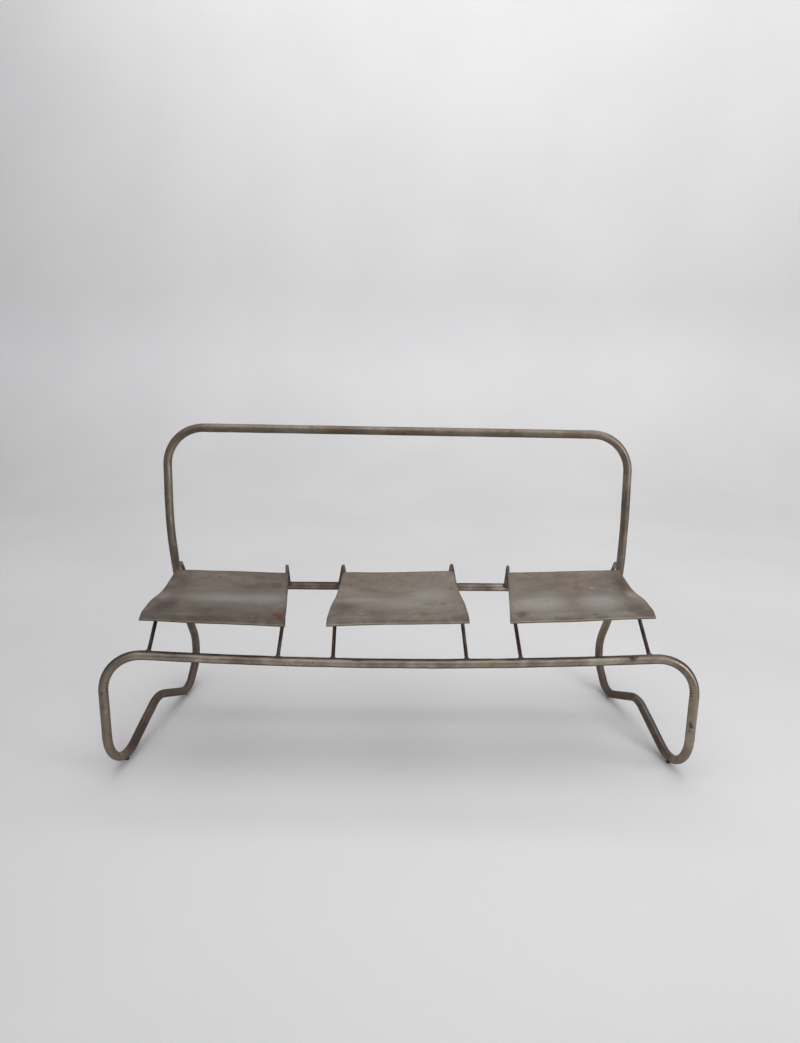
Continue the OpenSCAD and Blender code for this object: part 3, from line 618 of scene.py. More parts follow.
def side_look(side):
    def look(v, out, up):
        z = np.zeros(len(v))
        front = v[:, 1] < 25
        rail = rail_look(v, out, up)
        on_rail = front & (v[:, 2] > 325)
        fade = np.where(on_rail, np.clip((725 - np.abs(v[:, 0])) / 80, 0, 1), 0)
        o = {k: rail[k] * fade for k in ("wear", "olive", "brown", "grey")}
        fade_dark = np.where(on_rail, np.clip((760 - np.abs(v[:, 0])) / 60, 0, 1), 0)
        o["dark"] = rail["dark"] * fade_dark
        tone = 1 + (rail["tone"] - 1) * fade
        o["violet"] = z
        # the outer side of the front corner bend
        bend = np.where(front, np.clip((np.abs(v[:, 0]) - 660) / 50, 0, 1) * np.clip((v[:, 2] - 235) / 60, 0, 1), 0)
        outer = np.clip((out[:, 0] * side * 0.75 + out[:, 2] * 0.65 - 0.45) / 0.4, 0, 1)
        o["violet"] = o["violet"] + bend * outer * (0.85 if side < 0 else 0.4)
        o["brown"] = o["brown"] + bend * outer * (0.5 if side < 0 else 0.2)
        tone = tone * (1 - bend * outer * (0.50 if side < 0 else 0.30)) * (1 - (0.10 if side < 0 else 0) * bend)
        # painted highlight: a bright streak round the right bend
        if side > 0:  # a bright streak round the right one
            st = np.exp(-((out[:, 0] * 0.75 + out[:, 2] * 0.65 - 0.36) / 0.10) ** 2) * bend * np.clip((np.abs(v[:, 0]) - 700) / 25, 0, 1) * np.clip((v[:, 2] - 270) / 30, 0, 1)
            o["wear"] = o["wear"] + 0.9 * st
            tone = tone * (1 + 0.40 * st)
        # front uprights: an olive tint, painted light (more on the right one), a painted highlight right of centre and
        # a painted shaded line along the right edge
        stand = np.where(v[:, 1] < 45, np.clip((330 - v[:, 2]) / 80, 0, 1), 0)
        xo = out[:, 0]
        tone = tone * (1 + stand * ((0.12 if side < 0 else 0.42) + 0.14 * np.exp(-((xo - 0.3) / 0.35) ** 2)))
        o["olive"] = o["olive"] + stand * (0.22 + 0.2 * wave_tone(v + 44))
        o["dark"] = o["dark"] + 0.25 * stand * np.clip((xo - 0.86) / 0.12, 0, 1)
        # runs near the floor are browner and darker, with painted light on the faces turned inward and down
        low = np.clip((170 - v[:, 2]) / 60, 0, 1) * np.clip((v[:, 1] - 40) / 60, 0, 1)
        o["brown"] = o["brown"] + 0.12 * low
        o["violet"] = o["violet"] + (0.55 if side < 0 else 0.38) * low * np.clip(0.6 + 0.6 * wave_tone(v), 0, 1)
        o["rust"] = 0.10 * low * np.clip(0.4 + wave_small(v), 0, 1.4) + (0.28 if side > 0 else 0.12) * low * np.clip(wave_small(v + 31) - 0.5, 0, 1)
        tone = tone * (1 - (0.38 if side < 0 else 0.34) * low) * (1 + (0.5 if side < 0 else 0.25) * low * np.clip(-side * out[:, 0] * 0.8 - up * 0.3, 0, 1))
        # rear legs: the left one painted darker for the seat's shadow on it, the right one golden brown and lighter
        rear = np.clip((v[:, 1] - 440) / 40, 0, 1) * np.clip((430 - v[:, 2]) / 60, 0, 1)
        o["violet"] = o["violet"] + (0.20 if side < 0 else 0.0) * rear
        golden = np.clip((v[:, 1] - 440) / 40, 0, 1) * np.clip((530 - v[:, 2]) / 190, 0, 1) * np.clip((v[:, 2] - 120) / 110, 0, 1)
        o["olive"] = o["olive"] + (0.15 if side < 0 else 0.78) * golden * np.clip(0.85 + 0.45 * wave_tone(v + 17), 0.2, 1.2)
        o["rust"] = o["rust"] + (0.02 if side < 0 else 0.08) * rear
        tone = tone * (1 + (-0.08 if side < 0 else 0.14) * rear)
        # painted shade on the underside
        o["dark"] = o["dark"] + 0.25 * np.clip((-up - 0.55) / 0.45, 0, 1) * np.clip((v[:, 2] - 30) / 30, 0, 1)
        if side > 0:
            o["dark"] = o["dark"] + blobs(v, [(770, -25, 174, 5.5, 1.3), (776, -24, 166, 4.5, 1.2), (768, -26, 163, 3.5, 1.2), (772, -25, 154, 3.5, 1.1), (787, -20, 236, 3, 0.45),
                                              (781, -25, 150, 3, 0.5), (775, -22, 262, 3, 0.4)])
        else:
            o["dark"] = o["dark"] + blobs(v, [(-768, -24, 130, 3.5, 0.6), (-778, -20, 250, 4, 0.5), (-776, -24, 205, 3, 0.4), (-771, -25, 168, 3, 0.4)])
        o["tone"] = tone
        return upright_look(side, v, out, o)
    return look


def hoop_look(v, out, up):
    # painted shade under the top rail, painted light on its top and towards its right end; the blobs are dark marks
    top = np.clip((v[:, 2] - 800) / 60, 0, 1)
    d = 0.22 * np.clip((-up - 0.35) / 0.65, 0, 1) * top
    d = d + blobs(v, [(-268, 506, 870, 4, 0.5), (-250, 505, 868, 3, 0.45), (-80, 505, 868, 4, 0.35), (160, 505, 866, 3, 0.5), (330, 506, 864, 4, 0.4),
                      (-440, 505, 866, 3, 0.5), (455, 505, 858, 3.5, 0.5), (30, 504, 856, 3, 0.4)])
    right = np.clip((v[:, 0] + 100) / 500, 0, 1) * top
    o = {"brown": 0.10 * top, "rust": 0.05 * top, "wear": 0.08 * np.clip(up, 0, 1) * top, "olive": 0.15 + 0.15 * wave_tone(v + 19), "dark": d,
         "grey": 0.15 * right, "tone": (1 - 0.04 * top) * (1 + 0.22 * right * np.clip(0.6 - up, 0, 1))}
    a, b = dict(o), dict(o)
    a, b = upright_look(-1, v, out, a), upright_look(1, v, out, b)
    return {k: np.where(v[:, 0] < 0, a[k], b[k]) for k in a}


tube_piece("front_rail_tube_look", RAIL, [0] + [3000] * 6 + [0], extra=rail_look)
SIDE_CREASES = [(2, 0.10, 0.10), (3, 0.22, 0.22), (4, 0.12, 0.12), (5, 0.25, 0.25), (6, 1.30, 0.25)]
tube_piece("right_side_tube_look", SIDE_RIGHT, SIDE_RADII, creases=SIDE_CREASES, extra=side_look(1))
tube_piece("left_side_tube_look", SIDE_LEFT, SIDE_RADII, creases=SIDE_CREASES, extra=side_look(-1))
tube_piece("back_hoop_tube_look", HOOP, [0, 114, 114, 0], creases=[(0, 0.5, 0.15), (1, 0.15, 0.35)], extra=hoop_look)


def meet(p, d, q, e, R):
    """Distance from p along d to the cylinder of radius R about the line through q along e, on p's own side."""
    w = p - q
    a = d - e * (d @ e)
    b = w - np.outer(w @ e, e) if w.ndim == 2 else w - e * (w @ e)
    A = a @ a
    B = 2 * (b @ a)
    C = (b * b).sum(-1) - R * R
    disc = np.maximum(B * B - 4 * A * C, 0)
    return (-B + np.sqrt(disc)) / (2 * A)


def leg_axis(side):
    """Where the rear crossbar meets a leg: a point and a direction."""
    pts, tan, run, _ = rounded(SIDE_RIGHT if side > 0 else SIDE_LEFT, SIDE_RADII, 2.0)
    ok = (run < 700)
    i = int(np.argmin(np.where(ok, np.abs(pts[:, 2] - BAR_Z), 1e9)))
    return pts[i], tan[i]


def crossbar():
    seg, rows = 44, 170
    (pl, dl), (pr, dr) = leg_axis(-1), leg_axis(1)
    a = np.arange(seg) * 2 * math.pi / seg
    ring = np.stack([np.zeros(seg), -np.cos(a), np.sin(a)], 1)
    base = np.array([0, BAR_Y, BAR_Z]) + ring * TUBE_R
    x1 = pr[0] - meet(base + [pr[0], 0, 0], np.array([-1.0, 0, 0]), pr, dr, TUBE_R + 0.3)
    x0 = pl[0] + meet(base + [pl[0], 0, 0], np.array([1.0, 0, 0]), pl, dl, TUBE_R + 0.3)
    t = np.linspace(0, 1, rows)
    v = np.repeat(base[None], rows, 0)
    v[..., 0] = x0[None] + (x1 - x0)[None] * t[:, None]
    v = v + ring[None] * (0.08 * wave_dent(v) + 0.04 * wave_small(v))[..., None]
    verts = v.reshape(-1, 3)
    outs = np.repeat(ring[None], rows, 0).reshape(-1, 3)
    faces = [tuple(f) for f in grid_faces(rows, seg)]
    for end in (0, rows - 1):
        c = v[end].mean(0)
        verts = np.concatenate([verts, [c]])
        outs = np.concatenate([outs, [[0, 0, 1]]])
        k = len(verts) - 1
        idx = end * seg + np.arange(seg)
        for i in range(seg):
            f = (k, idx[i], idx[(i + 1) % seg])
            faces.append(f[::-1] if end == 0 else f)
    flow = np.stack([verts[:, 0], outs[:, 1] * TUBE_R, outs[:, 2] * TUBE_R], 1) * MM
    patch = blobs(verts, [(322, 497, 370, 22, 0.8), (250, 497, 370, 16, 0.3), (-270, 497, 370, 14, 0.3), (-225, 498, 366, 18, 0.25), (225, 497, 368, 12, 0.5)])
    ang = np.degrees(np.arctan2(outs[:, 2], -outs[:, 1]))
    # painted light and shade: lighter towards the right end and on the lower front, painted shade along the top-back
    # and underneath; the blobs are dark marks
    attrs = add_masks(verts, brown=0.36 + 0.25 * wave_tone(verts), rust=0.08 + 0.12 * wave_small(verts), wear=patch * 0.6,
                      dark=0.65 * np.clip((-ang - 12) / 20, 0, 1) + 0.75 * np.clip((ang - 66) / 10, 0, 1)
                      + blobs(verts, [(345, 498, 368, 8, 0.8), (-200, 498, 368, 8, 0.5), (184, 498, 368, 7, 0.5), (-328, 498, 370, 5, 0.6)]),
                      tone=(1.0 + 0.35 * np.clip(verts[:, 0] / 300, -0.4, 1) + 0.15 * wave_small(verts + 7))
                      * (1 + 0.50 * np.clip((34 - ang) / 40, 0, 1) - 0.40 * np.clip((ang - 36) / 22, 0, 1)))
    attrs["flow"] = flow
    ob = mesh_object("rear_crossbar_look", place(verts), faces, attrs)
    mark_sharp(ob, 50)
    finish_piece(ob, tube_steel, "rear_crossbar")


crossbar()


# --------------------------------------------------------------------------------------------
# seat rods
# --------------------------------------------------------------------------------------------
def rail_slope_at(x):
    P = np.array(RAIL)
    i = int(np.clip(np.searchsorted(P[:, 0], x) - 1, 0, len(P) - 2))
    if abs(x) > 575:
        i = 0 if x < 0 else len(P) - 2
    d = P[i + 1] - P[i]
    return unit(d)


def rod_piece(name, nodes):
    pts, tan, run, arcs = rounded(nodes, ROD_RADII, 4.0, 2.0)
    seg = 24
    keep_a = (np.array(nodes[0]), rail_slope_at(nodes[0][0]), TUBE_R + 0.05)
    keep_b = (np.array(nodes[-1]), np.array([1.0, 0, 0]), TUBE_R + 0.05)

    def off(p, q, e):
        w = p - q
        return np.linalg.norm(w - np.outer(w @ e, e), axis=1)
    ok = (off(pts, keep_a[0], keep_a[1]) > TUBE_R + 6.5) & (off(pts, keep_b[0], keep_b[1]) > TUBE_R + 6.5)
    first, last = np.flatnonzero(ok)[[0, -1]]
    P, T, S = pts[first:last + 1], tan[first:last + 1], run[first:last + 1]

    def swell(c, out, s, t):
        d = 0.05 * wave_small(c + out * 5)
        for i in (1, 2):  # the tight ear bends are slightly flattened
            s0, s1, centre = arcs[i]
            side = (unit(centre - c) * out).sum(-1)
            m = np.clip((s - s0 + 3) / 5, 0, 1) * np.clip((s1 - s + 3) / 5, 0, 1)
            d = d - 0.30 * m * np.clip(side, 0, 1)
        return d
    v, out, flow = swept(P, T, S, ROD_R, seg, (1, 0, 0), swell)
    # coped ends
    a = v[0] - np.outer(np.full(seg, 0.0), T[0])
    back = meet_back(a, -T[0], *keep_a)
    fore = meet_back(v[-1], T[-1], *keep_b)
    v = np.concatenate([(v[0] - T[0] * back[:, None])[None], v, (v[-1] + T[-1] * fore[:, None])[None]])
    out = np.concatenate([out[:1], out, out[-1:]])
    flow = np.concatenate([flow[:1] - [[[0.006, 0, 0]]], flow, flow[-1:] + [[[0.006, 0, 0]]]])
    rows = len(v)
    verts = v.reshape(-1, 3)
    faces = [tuple(f[::-1]) for f in grid_faces(rows, seg)]
    faces.append(tuple(np.arange(seg)))
    faces.append(tuple(((rows - 1) * seg + np.arange(seg))[::-1]))
    o = out.reshape(-1, 3)
    ear = np.clip((verts[:, 1] - 385) / 12, 0, 1)
    # painted highlights mixed with wear on the front-facing side, painted shade underneath
    attrs = add_masks(verts, brown=0.30 + 0.25 * wave_small(verts), rust=0.10 + 0.16 * wave_tone(verts), violet=0.25 + 0.25 * wave_tone(verts + 60),
                      wear=0.30 * np.clip(wave_small(verts + 90) - 0.3, 0, 1) * np.clip(-o[:, 1], 0, 1),
                      grey=0.35 * ear, dark=0.12 * np.clip(-o[:, 2], 0, 1))
    attrs["flow"] = flow.reshape(-1, 3)
    ob = mesh_object(name + "_look", place(verts), faces, attrs)
    mark_sharp(ob, 55)
    finish_piece(ob, rod_steel, name)
    return P, T


def meet_back(p, d, q, e, R):
    """Distance from p along d to the first hit of the cylinder of radius R about the line q, e."""
    w = p - q
    a = d - e * (d @ e)
    b = w - np.outer(w @ e, e)
    A, B, C = a @ a, 2 * (b @ a), (b * b).sum(-1) - R * R
    disc = B * B - 4 * A * C
    return np.where(disc > 0, (-B - np.sqrt(np.maximum(disc, 0))) / (2 * A), -B / (2 * A))


for rod_name, rod_nodes in RODS.items():
    rod_piece(rod_name, rod_nodes)


# --------------------------------------------------------------------------------------------
# weld beads
# --------------------------------------------------------------------------------------------
def bead(centre_line, normal, r, closed, pitch, seed, seg=12, depth=0.30):
    """A bead laid along a line: overlapping ripples, a little uneven. normal leans out of the surface. Returns vertices and faces."""
    c = np.asarray(centre_line, float)
    n = len(c)
    if closed:
        t = unit(np.roll(c, -1, 0) - np.roll(c, 1, 0))
        run = np.concatenate([[0], np.cumsum(np.linalg.norm(np.diff(np.concatenate([c, c[:1]]), axis=0), axis=1))])
        total, run = run[-1], run[:-1]
        pitch = total / max(3, round(total / pitch))
    else:
        t = unit(np.gradient(c, axis=0))
        run = np.concatenate([[0], np.cumsum(np.linalg.norm(np.diff(c, axis=0), axis=1))])
    nn = normal - t * (normal * t).sum(1, keepdims=True)
    nn = unit(nn)
    b = np.cross(t, nn)
    a = np.arange(seg) * 2 * math.pi / seg
    g = np.random.default_rng(seed)
    ph = g.uniform(0, 6.28, 4)
    uneven = 0.10 * np.sin(run / 9.0 + ph[0]) + 0.08 * np.sin(run / 4.1 + ph[1])
    saw = (run / pitch + 0.12 * np.sin(run / 5.0 + ph[2])) % 1.0
    ripple = depth * (saw ** 0.6 - 0.62)
    rad = r * (1 + uneven) + ripple
    if not closed:
        s = (run - run[0]) / (run[-1] - run[0])
        rad = rad * np.sqrt(np.clip(1 - np.abs(2 * s - 1) ** 6, 0.0, 1)) + 0.02
    lean = -0.45 * pitch * (np.cos(a) * 0.5 + 0.5)
    v = c[:, None] + (nn[:, None] * np.cos(a)[None, :, None] + b[:, None] * np.sin(a)[None, :, None]) * rad[:, None, None]
    v = v + t[:, None] * lean[None, :, None]
    f = [tuple(x) for x in grid_faces(n, seg, True, closed)]
    if not closed:
        f.append(tuple(np.arange(seg)[::-1]))
        f.append(tuple((n - 1) * seg + np.arange(seg)))
    return v.reshape(-1, 3), f


def weld_piece(name, beads, tint=0.0, mat=None):
    verts, faces = [], []
    for v, f in beads:
        k = sum(len(x) for x in verts)
        verts.append(v)
        faces += [tuple(i + k for i in q) for q in f]
    verts = np.concatenate(verts)
    attrs = add_masks(verts, brown=0.3 + 0.3 * wave_small(verts), rust=0.18 + 0.15 * wave_small(verts + 40) + tint,
                      wear=0.25 * np.clip(wave_small(verts - 60), 0, 1), dark=0.12 + 0.1 * wave_small(verts + 10))
    if mat is not None:  # dressed flush with the tube
        attrs = add_masks(verts, brown=0.32 + 0.24 * wave_tone(verts), wear=0.12 * np.clip(wave_small(verts), 0, 1), tone=1.12)
    attrs["flow"] = verts * MM
    ob = mesh_object(name + "_look", place(verts), faces, attrs)
    return finish_piece(ob, mat or weld_steel, name)


def collar(p, d, q, e, R, r_around, r_bead, seed, n=96):
    """Bead round a rod or tube with axis p + d t where it meets the cylinder R about the line q, e."""
    d = unit(d)
    x = unit(np.cross(d, e))
    y = np.cross(d, x)
    a = np.arange(n) * 2 * math.pi / n
    out = x[None] * np.cos(a)[:, None] + y[None] * np.sin(a)[:, None]
    start = p + d * 60 + out * r_around
    hit = meet_back(start, -d, q, e, R)
    c = start - d * hit[:, None]
    w = c - q
    away = unit(w - np.outer(w @ e, e))
    return bead(c, unit(away + out * 0.9), r_bead, True, 3.1, seed, 12, 0.42)


seed = 40
for seat in ("left", "middle", "right"):
    rail_b, bar_b, under_b = [], [], []
    for m, side in ((-1, "left"), (1, "right")):
        p = [np.array(q, float) for q in RODS[f"{seat}_seat_{side}_rod"]]
        seed += 1
        rail_b.append(collar(p[0], p[1] - p[0], p[0], rail_slope_at(p[0][0]), TUBE_R + 0.5, ROD_R + 1.0, 2.5, seed))
        bar_b.append(collar(p[4], p[3] - p[4], p[4], np.array([1.0, 0, 0]), TUBE_R + 0.5, ROD_R + 1.0, 2.5, seed + 20))
        d = unit(p[2] - p[1])
        for f in (0.22, 0.82):
            q = p[1] + (p[2] - p[1]) * f + np.array([-m * (ROD_R + 1), 0, ROD_R - 2])
            line = q + d * np.linspace(-12.5, 12.5, 60)[:, None]
            nrm = np.repeat(unit([[-m * 0.8, 0, -0.6]]), 60, 0)
            seed += 1
            under_b.append(bead(line, nrm, 3.0, False, 3.4, seed, 12, 0.4))
    weld_piece(f"{seat}_seat_rail_welds", rail_b)
    weld_piece(f"{seat}_seat_crossbar_welds", bar_b, 0.05)
    weld_piece(f"{seat}_seat_under_welds", under_b)

for side, word in ((-1, "left"), (1, "right")):
    lp, ld = leg_axis(side)
    b = collar(np.array([lp[0], BAR_Y, BAR_Z]), np.array([-side * 1.0, 0, 0]), lp, ld, TUBE_R + 0.6, TUBE_R + 0.6, 3.2, 90 + side)
    weld_piece(f"crossbar_{word}_weld", [b], 0.05)
    for kind, nodes, i in (("upper", SIDE_RIGHT if side > 0 else SIDE_LEFT, 0), ("front", SIDE_RIGHT if side > 0 else SIDE_LEFT, -1)):
        c = np.array(nodes[i], float)
        d = unit(np.array(nodes[i], float) - np.array(nodes[1 if i == 0 else -2], float))
        x = unit(np.cross(d, [0.3, 1, 0.2]))
        y = np.cross(d, x)
        a = np.arange(140) * 2 * math.pi / 140
        out = x[None] * np.cos(a)[:, None] + y[None] * np.sin(a)[:, None]
        weld_piece(f"{kind}_{word}_butt_weld", [bead(c + out * (TUBE_R - 1.85), out, 2.0, True, 3.0, 60 + side + i, 14, 0.06)], 0.0, tube_steel)


# --------------------------------------------------------------------------------------------
# seats
# --------------------------------------------------------------------------------------------
def seat_profile():
    """The upper face from the rear edge to the front one, as (y, z)."""
    N = [np.array(p, float) for p in ([SEAT_REAR_Y, SEAT_REAR_Z], [227.6, SEAT_REAR_Z - 11.6], [113.5, SEAT_REAR_Z + 5.5], [26.8, SEAT_REAR_Z + 4.8], [0, SEAT_REAR_Z - 6.2])]
    R = [0, 487, 340, 45, 0]
    pts = [N[0]]
    for i in (1, 2, 3):
        u, v = unit(N[i - 1] - N[i]), unit(N[i + 1] - N[i])
        h = math.acos(float(u @ v)) / 2
        tr = R[i] / math.tan(h)
        c = N[i] + unit(u + v) * R[i] / math.sin(h)
        s, e, w = N[i] + u * tr - c, N[i] + v * tr - c, math.pi - 2 * h
        for k in range(25):
            q = (math.sin(w - w * k / 24) * s + math.sin(w * k / 24) * e) / math.sin(w)
            pts.append(c + q)
    tip = pts[-1]
    pts += [tip + (N[4] - tip) * t for t in (0.35, 0.7, 1.0)]
    pts = np.array(pts)
    # even steps
    keep = [0]
    for i in range(1, len(pts)):
        if np.linalg.norm(pts[i] - pts[keep[-1]]) > 0.6:
            keep.append(i)
    pts = pts[keep]
    dense = [pts[0]]
    for a, b in zip(pts[:-1], pts[1:]):
        n = max(1, int(math.ceil(np.linalg.norm(b - a) / 6.0)))
        dense += [a + (b - a) * k / n for k in range(1, n + 1)]
    return np.array(dense)


def inward(loop):
    """Inward unit normals of a closed loop that runs over the top from the rear to the front and back underneath."""
    t = np.roll(loop, -1, 0) - np.roll(loop, 1, 0)
    n = np.stack([-t[:, 1], t[:, 0]], 1)
    n = n / np.maximum(np.linalg.norm(n, axis=1, keepdims=True), 1e-9)
    area = 0.5 * np.sum(loop[:, 0] * np.roll(loop[:, 1], -1) - np.roll(loop[:, 0], -1) * loop[:, 1])
    return n if area > 0 else -n


def seat_piece(seat, spots, wave_seed):
    x0, toe, lean_rear, lean_front, tip_up, lift = SEATS[seat]
    top = seat_profile()
    d = np.gradient(top, axis=0)
    d = d / np.linalg.norm(d, axis=1, keepdims=True)
    down = np.stack([-d[:, 1], d[:, 0]], 1)                     # out of the lower face
    under = top + down * SHEET_T
    # folded hem at the front: round the tip, then back under the sheet
    tip, td, tn = top[-1], d[-1], down[-1]
    c = tip + tn * SHEET_T
    fold = [c - tn * SHEET_T * math.cos(a) + td * SHEET_T * math.sin(a) * 0.55 for a in np.linspace(0, math.pi, 9)[1:-1]]
    run = np.concatenate([[0], np.cumsum(np.linalg.norm(np.diff(top[::-1], axis=0), axis=1))])
    h = int(np.searchsorted(run, HEM)) + 1
    hem_low = (top + down * (2 * SHEET_T + 0.1))[::-1][:h]
    hem_end = hem_low[-1] + (under[::-1][h - 1] - hem_low[-1]) * 0.5
    lip = under[::-1][h - 1] + down[::-1][h - 1] * 0.05
    rest = under[::-1][h:]
    rear = []
    rd, rn = -d[0], down[0]
    loop = np.concatenate([top, fold, hem_low, [hem_end], [lip], rest])
    # rounded rear edge
    loop = np.concatenate([loop, [under[0] - rn * 0.9 + rd * 0.0]])
    inn = inward(loop)
    # columns across, with a rounded rim at both sides
    rim = 1.1
    es = [0.0, 0.16, 0.45, 0.8, rim]
    def half_width(y):
        w = SEAT_W_FRONT + (SEAT_W_REAR - SEAT_W_FRONT) * (y / (SEAT_REAR_Y + 5))
        near = (SEAT_W_FRONT - 5) + np.sqrt(np.clip(5.6 ** 2 - np.clip(3 - y, 0, 5.6) ** 2, 0, None))
        return np.where(y < 3, np.minimum(w, near), w)
    inner = np.linspace(-1, 1, 71)
    cols = []
    hw = half_width(loop[:, 0])
    for e in es[:-1]:
        cols.append((-hw + e, rim - math.sqrt(rim * rim - (rim - e) ** 2)))
    for u in inner:
        cols.append(((hw - rim) * u, 0.0))
    for e in es[:-1][::-1]:
        cols.append((hw - e, rim - math.sqrt(rim * rim - (rim - e) ** 2)))
    V = []
    for x, dd in cols:
        yz = loop + inn * dd
        V.append(np.stack([x, yz[:, 0], yz[:, 1]], 1))
    V = np.array(V)                                            # cols x loop x 3
    # beaten, slightly uneven sheet
    plan = V.copy()
    plan[..., 2] = 0
    wave, wave2 = Waves(wave_seed, 230), Waves(wave_seed + 1, 90)
    V[..., 2] += 0.55 * wave(plan) + 0.16 * wave2(plan)
    for (cx, cy, rad, dep) in DINGS[seat]:
        V[..., 2] -= dep * np.exp(-(((V[..., 0] - cx) ** 2 + (V[..., 1] - cy) ** 2) / rad ** 2))
    local = V.copy()
    # into place
    nc, nl = V.shape[:2]
    share = np.clip(V[..., 1] / SEAT_REAR_Y, 0, 1)
    lean = np.radians(lean_front + (lean_rear - lean_front) * share)
    up, side = math.radians(tip_up), math.radians(toe)
    x, y, z = V[..., 0], V[..., 1] - SEAT_REAR_Y / 2, V[..., 2] - SEAT_REAR_Z
    y, z = y * math.cos(up) - z * math.sin(up), y * math.sin(up) + z * math.cos(up)
    x, z = x * np.cos(lean) - z * np.sin(lean), x * np.sin(lean) + z * np.cos(lean)
    x, y = x * math.cos(side) - y * math.sin(side), x * math.sin(side) + y * math.cos(side)
    W = np.stack([x + x0, y + SEAT_REAR_Y / 2, z + SEAT_REAR_Z + lift], -1)
    verts = W.reshape(-1, 3)
    L = local.reshape(-1, 3)
    faces = [tuple(f) for f in grid_faces(nc, nl, True, False)]
    # side walls, closed between the upper face and the one below it
    nt = len(top)
    below_of = lambda j: 2 * nt + 8 - j if j <= nt - 1 - h else 2 * nt + 6 - j
    caps = [(j, j + 1, below_of(j + 1), below_of(j)) for j in range(nt - 1) if j not in (nt - 1 - h, nt - h)]
    caps.append((nt - 1 - h, nt - h, nt + 8 + h, nt + 9 + h))
    caps.append((nt - h, nt - h + 1, below_of(nt - h + 1), nt + 6 + h, nt + 7 + h, nt + 8 + h))
    caps.append(tuple(range(nt - 1, nt + 8)))
    caps.append((2 * nt + 8, 2 * nt + 9, 0))
    for cap in caps:
        faces.append(tuple(cap[::-1]))
        faces.append(tuple((nc - 1) * nl + i for i in cap))
    masks = {k: np.zeros(len(L)) for k in MASKS}
    upper = np.zeros((nc, nl), bool)
    upper[:, :nt + len(fold)] = True
    upper = upper.reshape(-1)
    for kind, cx, cy, rx, ry, amount in spots:
        power = 2.6 if kind in ("grey", "brown", "violet", "olive", "rust") else 3.2
        masks[kind] += np.where(upper, amount * np.exp(-np.abs((L[:, 0] - cx) / rx) ** power - np.abs((L[:, 1] - cy) / ry) ** power), 0)
    masks["tone"] = TONES[seat](L[:, 0], L[:, 1])
    lip = np.exp(-((L[:, 1] + 0.5) / 3.0) ** 2)
    masks["olive"] += 0.5 * lip
    masks["dark"] += np.where(upper, 0.42, 0) * np.exp(-((L[:, 1] - 5.5) / 2.6) ** 2) * (0.85 + 0.15 * wave_small(verts))
    masks["tone"] = masks["tone"] * (1 + 0.16 * lip) * (1 - 0.34 * np.exp(-np.abs((L[:, 1] - 14) / 14.0) ** 3))
    edge = np.minimum(np.abs(np.abs(L[:, 0]) - half_width(L[:, 1])), np.minimum(np.abs(L[:, 1]), np.abs(L[:, 1] - SEAT_REAR_Y)))
    masks["dark"] += 0.55 * np.exp(-(edge / 2.0) ** 2) * (L[:, 1] > 8)
    masks["brown"] += 0.35 * np.exp(-((edge - 6) / 7.0) ** 2) * (0.5 + 0.5 * np.clip(wave_small(verts), -1, 1))
    below = np.zeros((nc, nl), bool)
    below[:, len(top) + len(fold) // 2:] = True
    below = below.reshape(-1)
    masks["brown"] += np.where(below, 0.45, 0)
    masks["rust"] += np.where(below, 0.15, 0)
    for k in ("grey",):
        masks[k] = np.where(below, 0.1, masks[k])
    attrs = add_masks(L, **masks)
    attrs["flow"] = L * MM
    ob = mesh_object(f"{seat}_seat_plate_look", place(verts), faces, attrs)
    mark_sharp(ob, 62)
    return finish_piece(ob, seat_steel, f"{seat}_seat_plate")


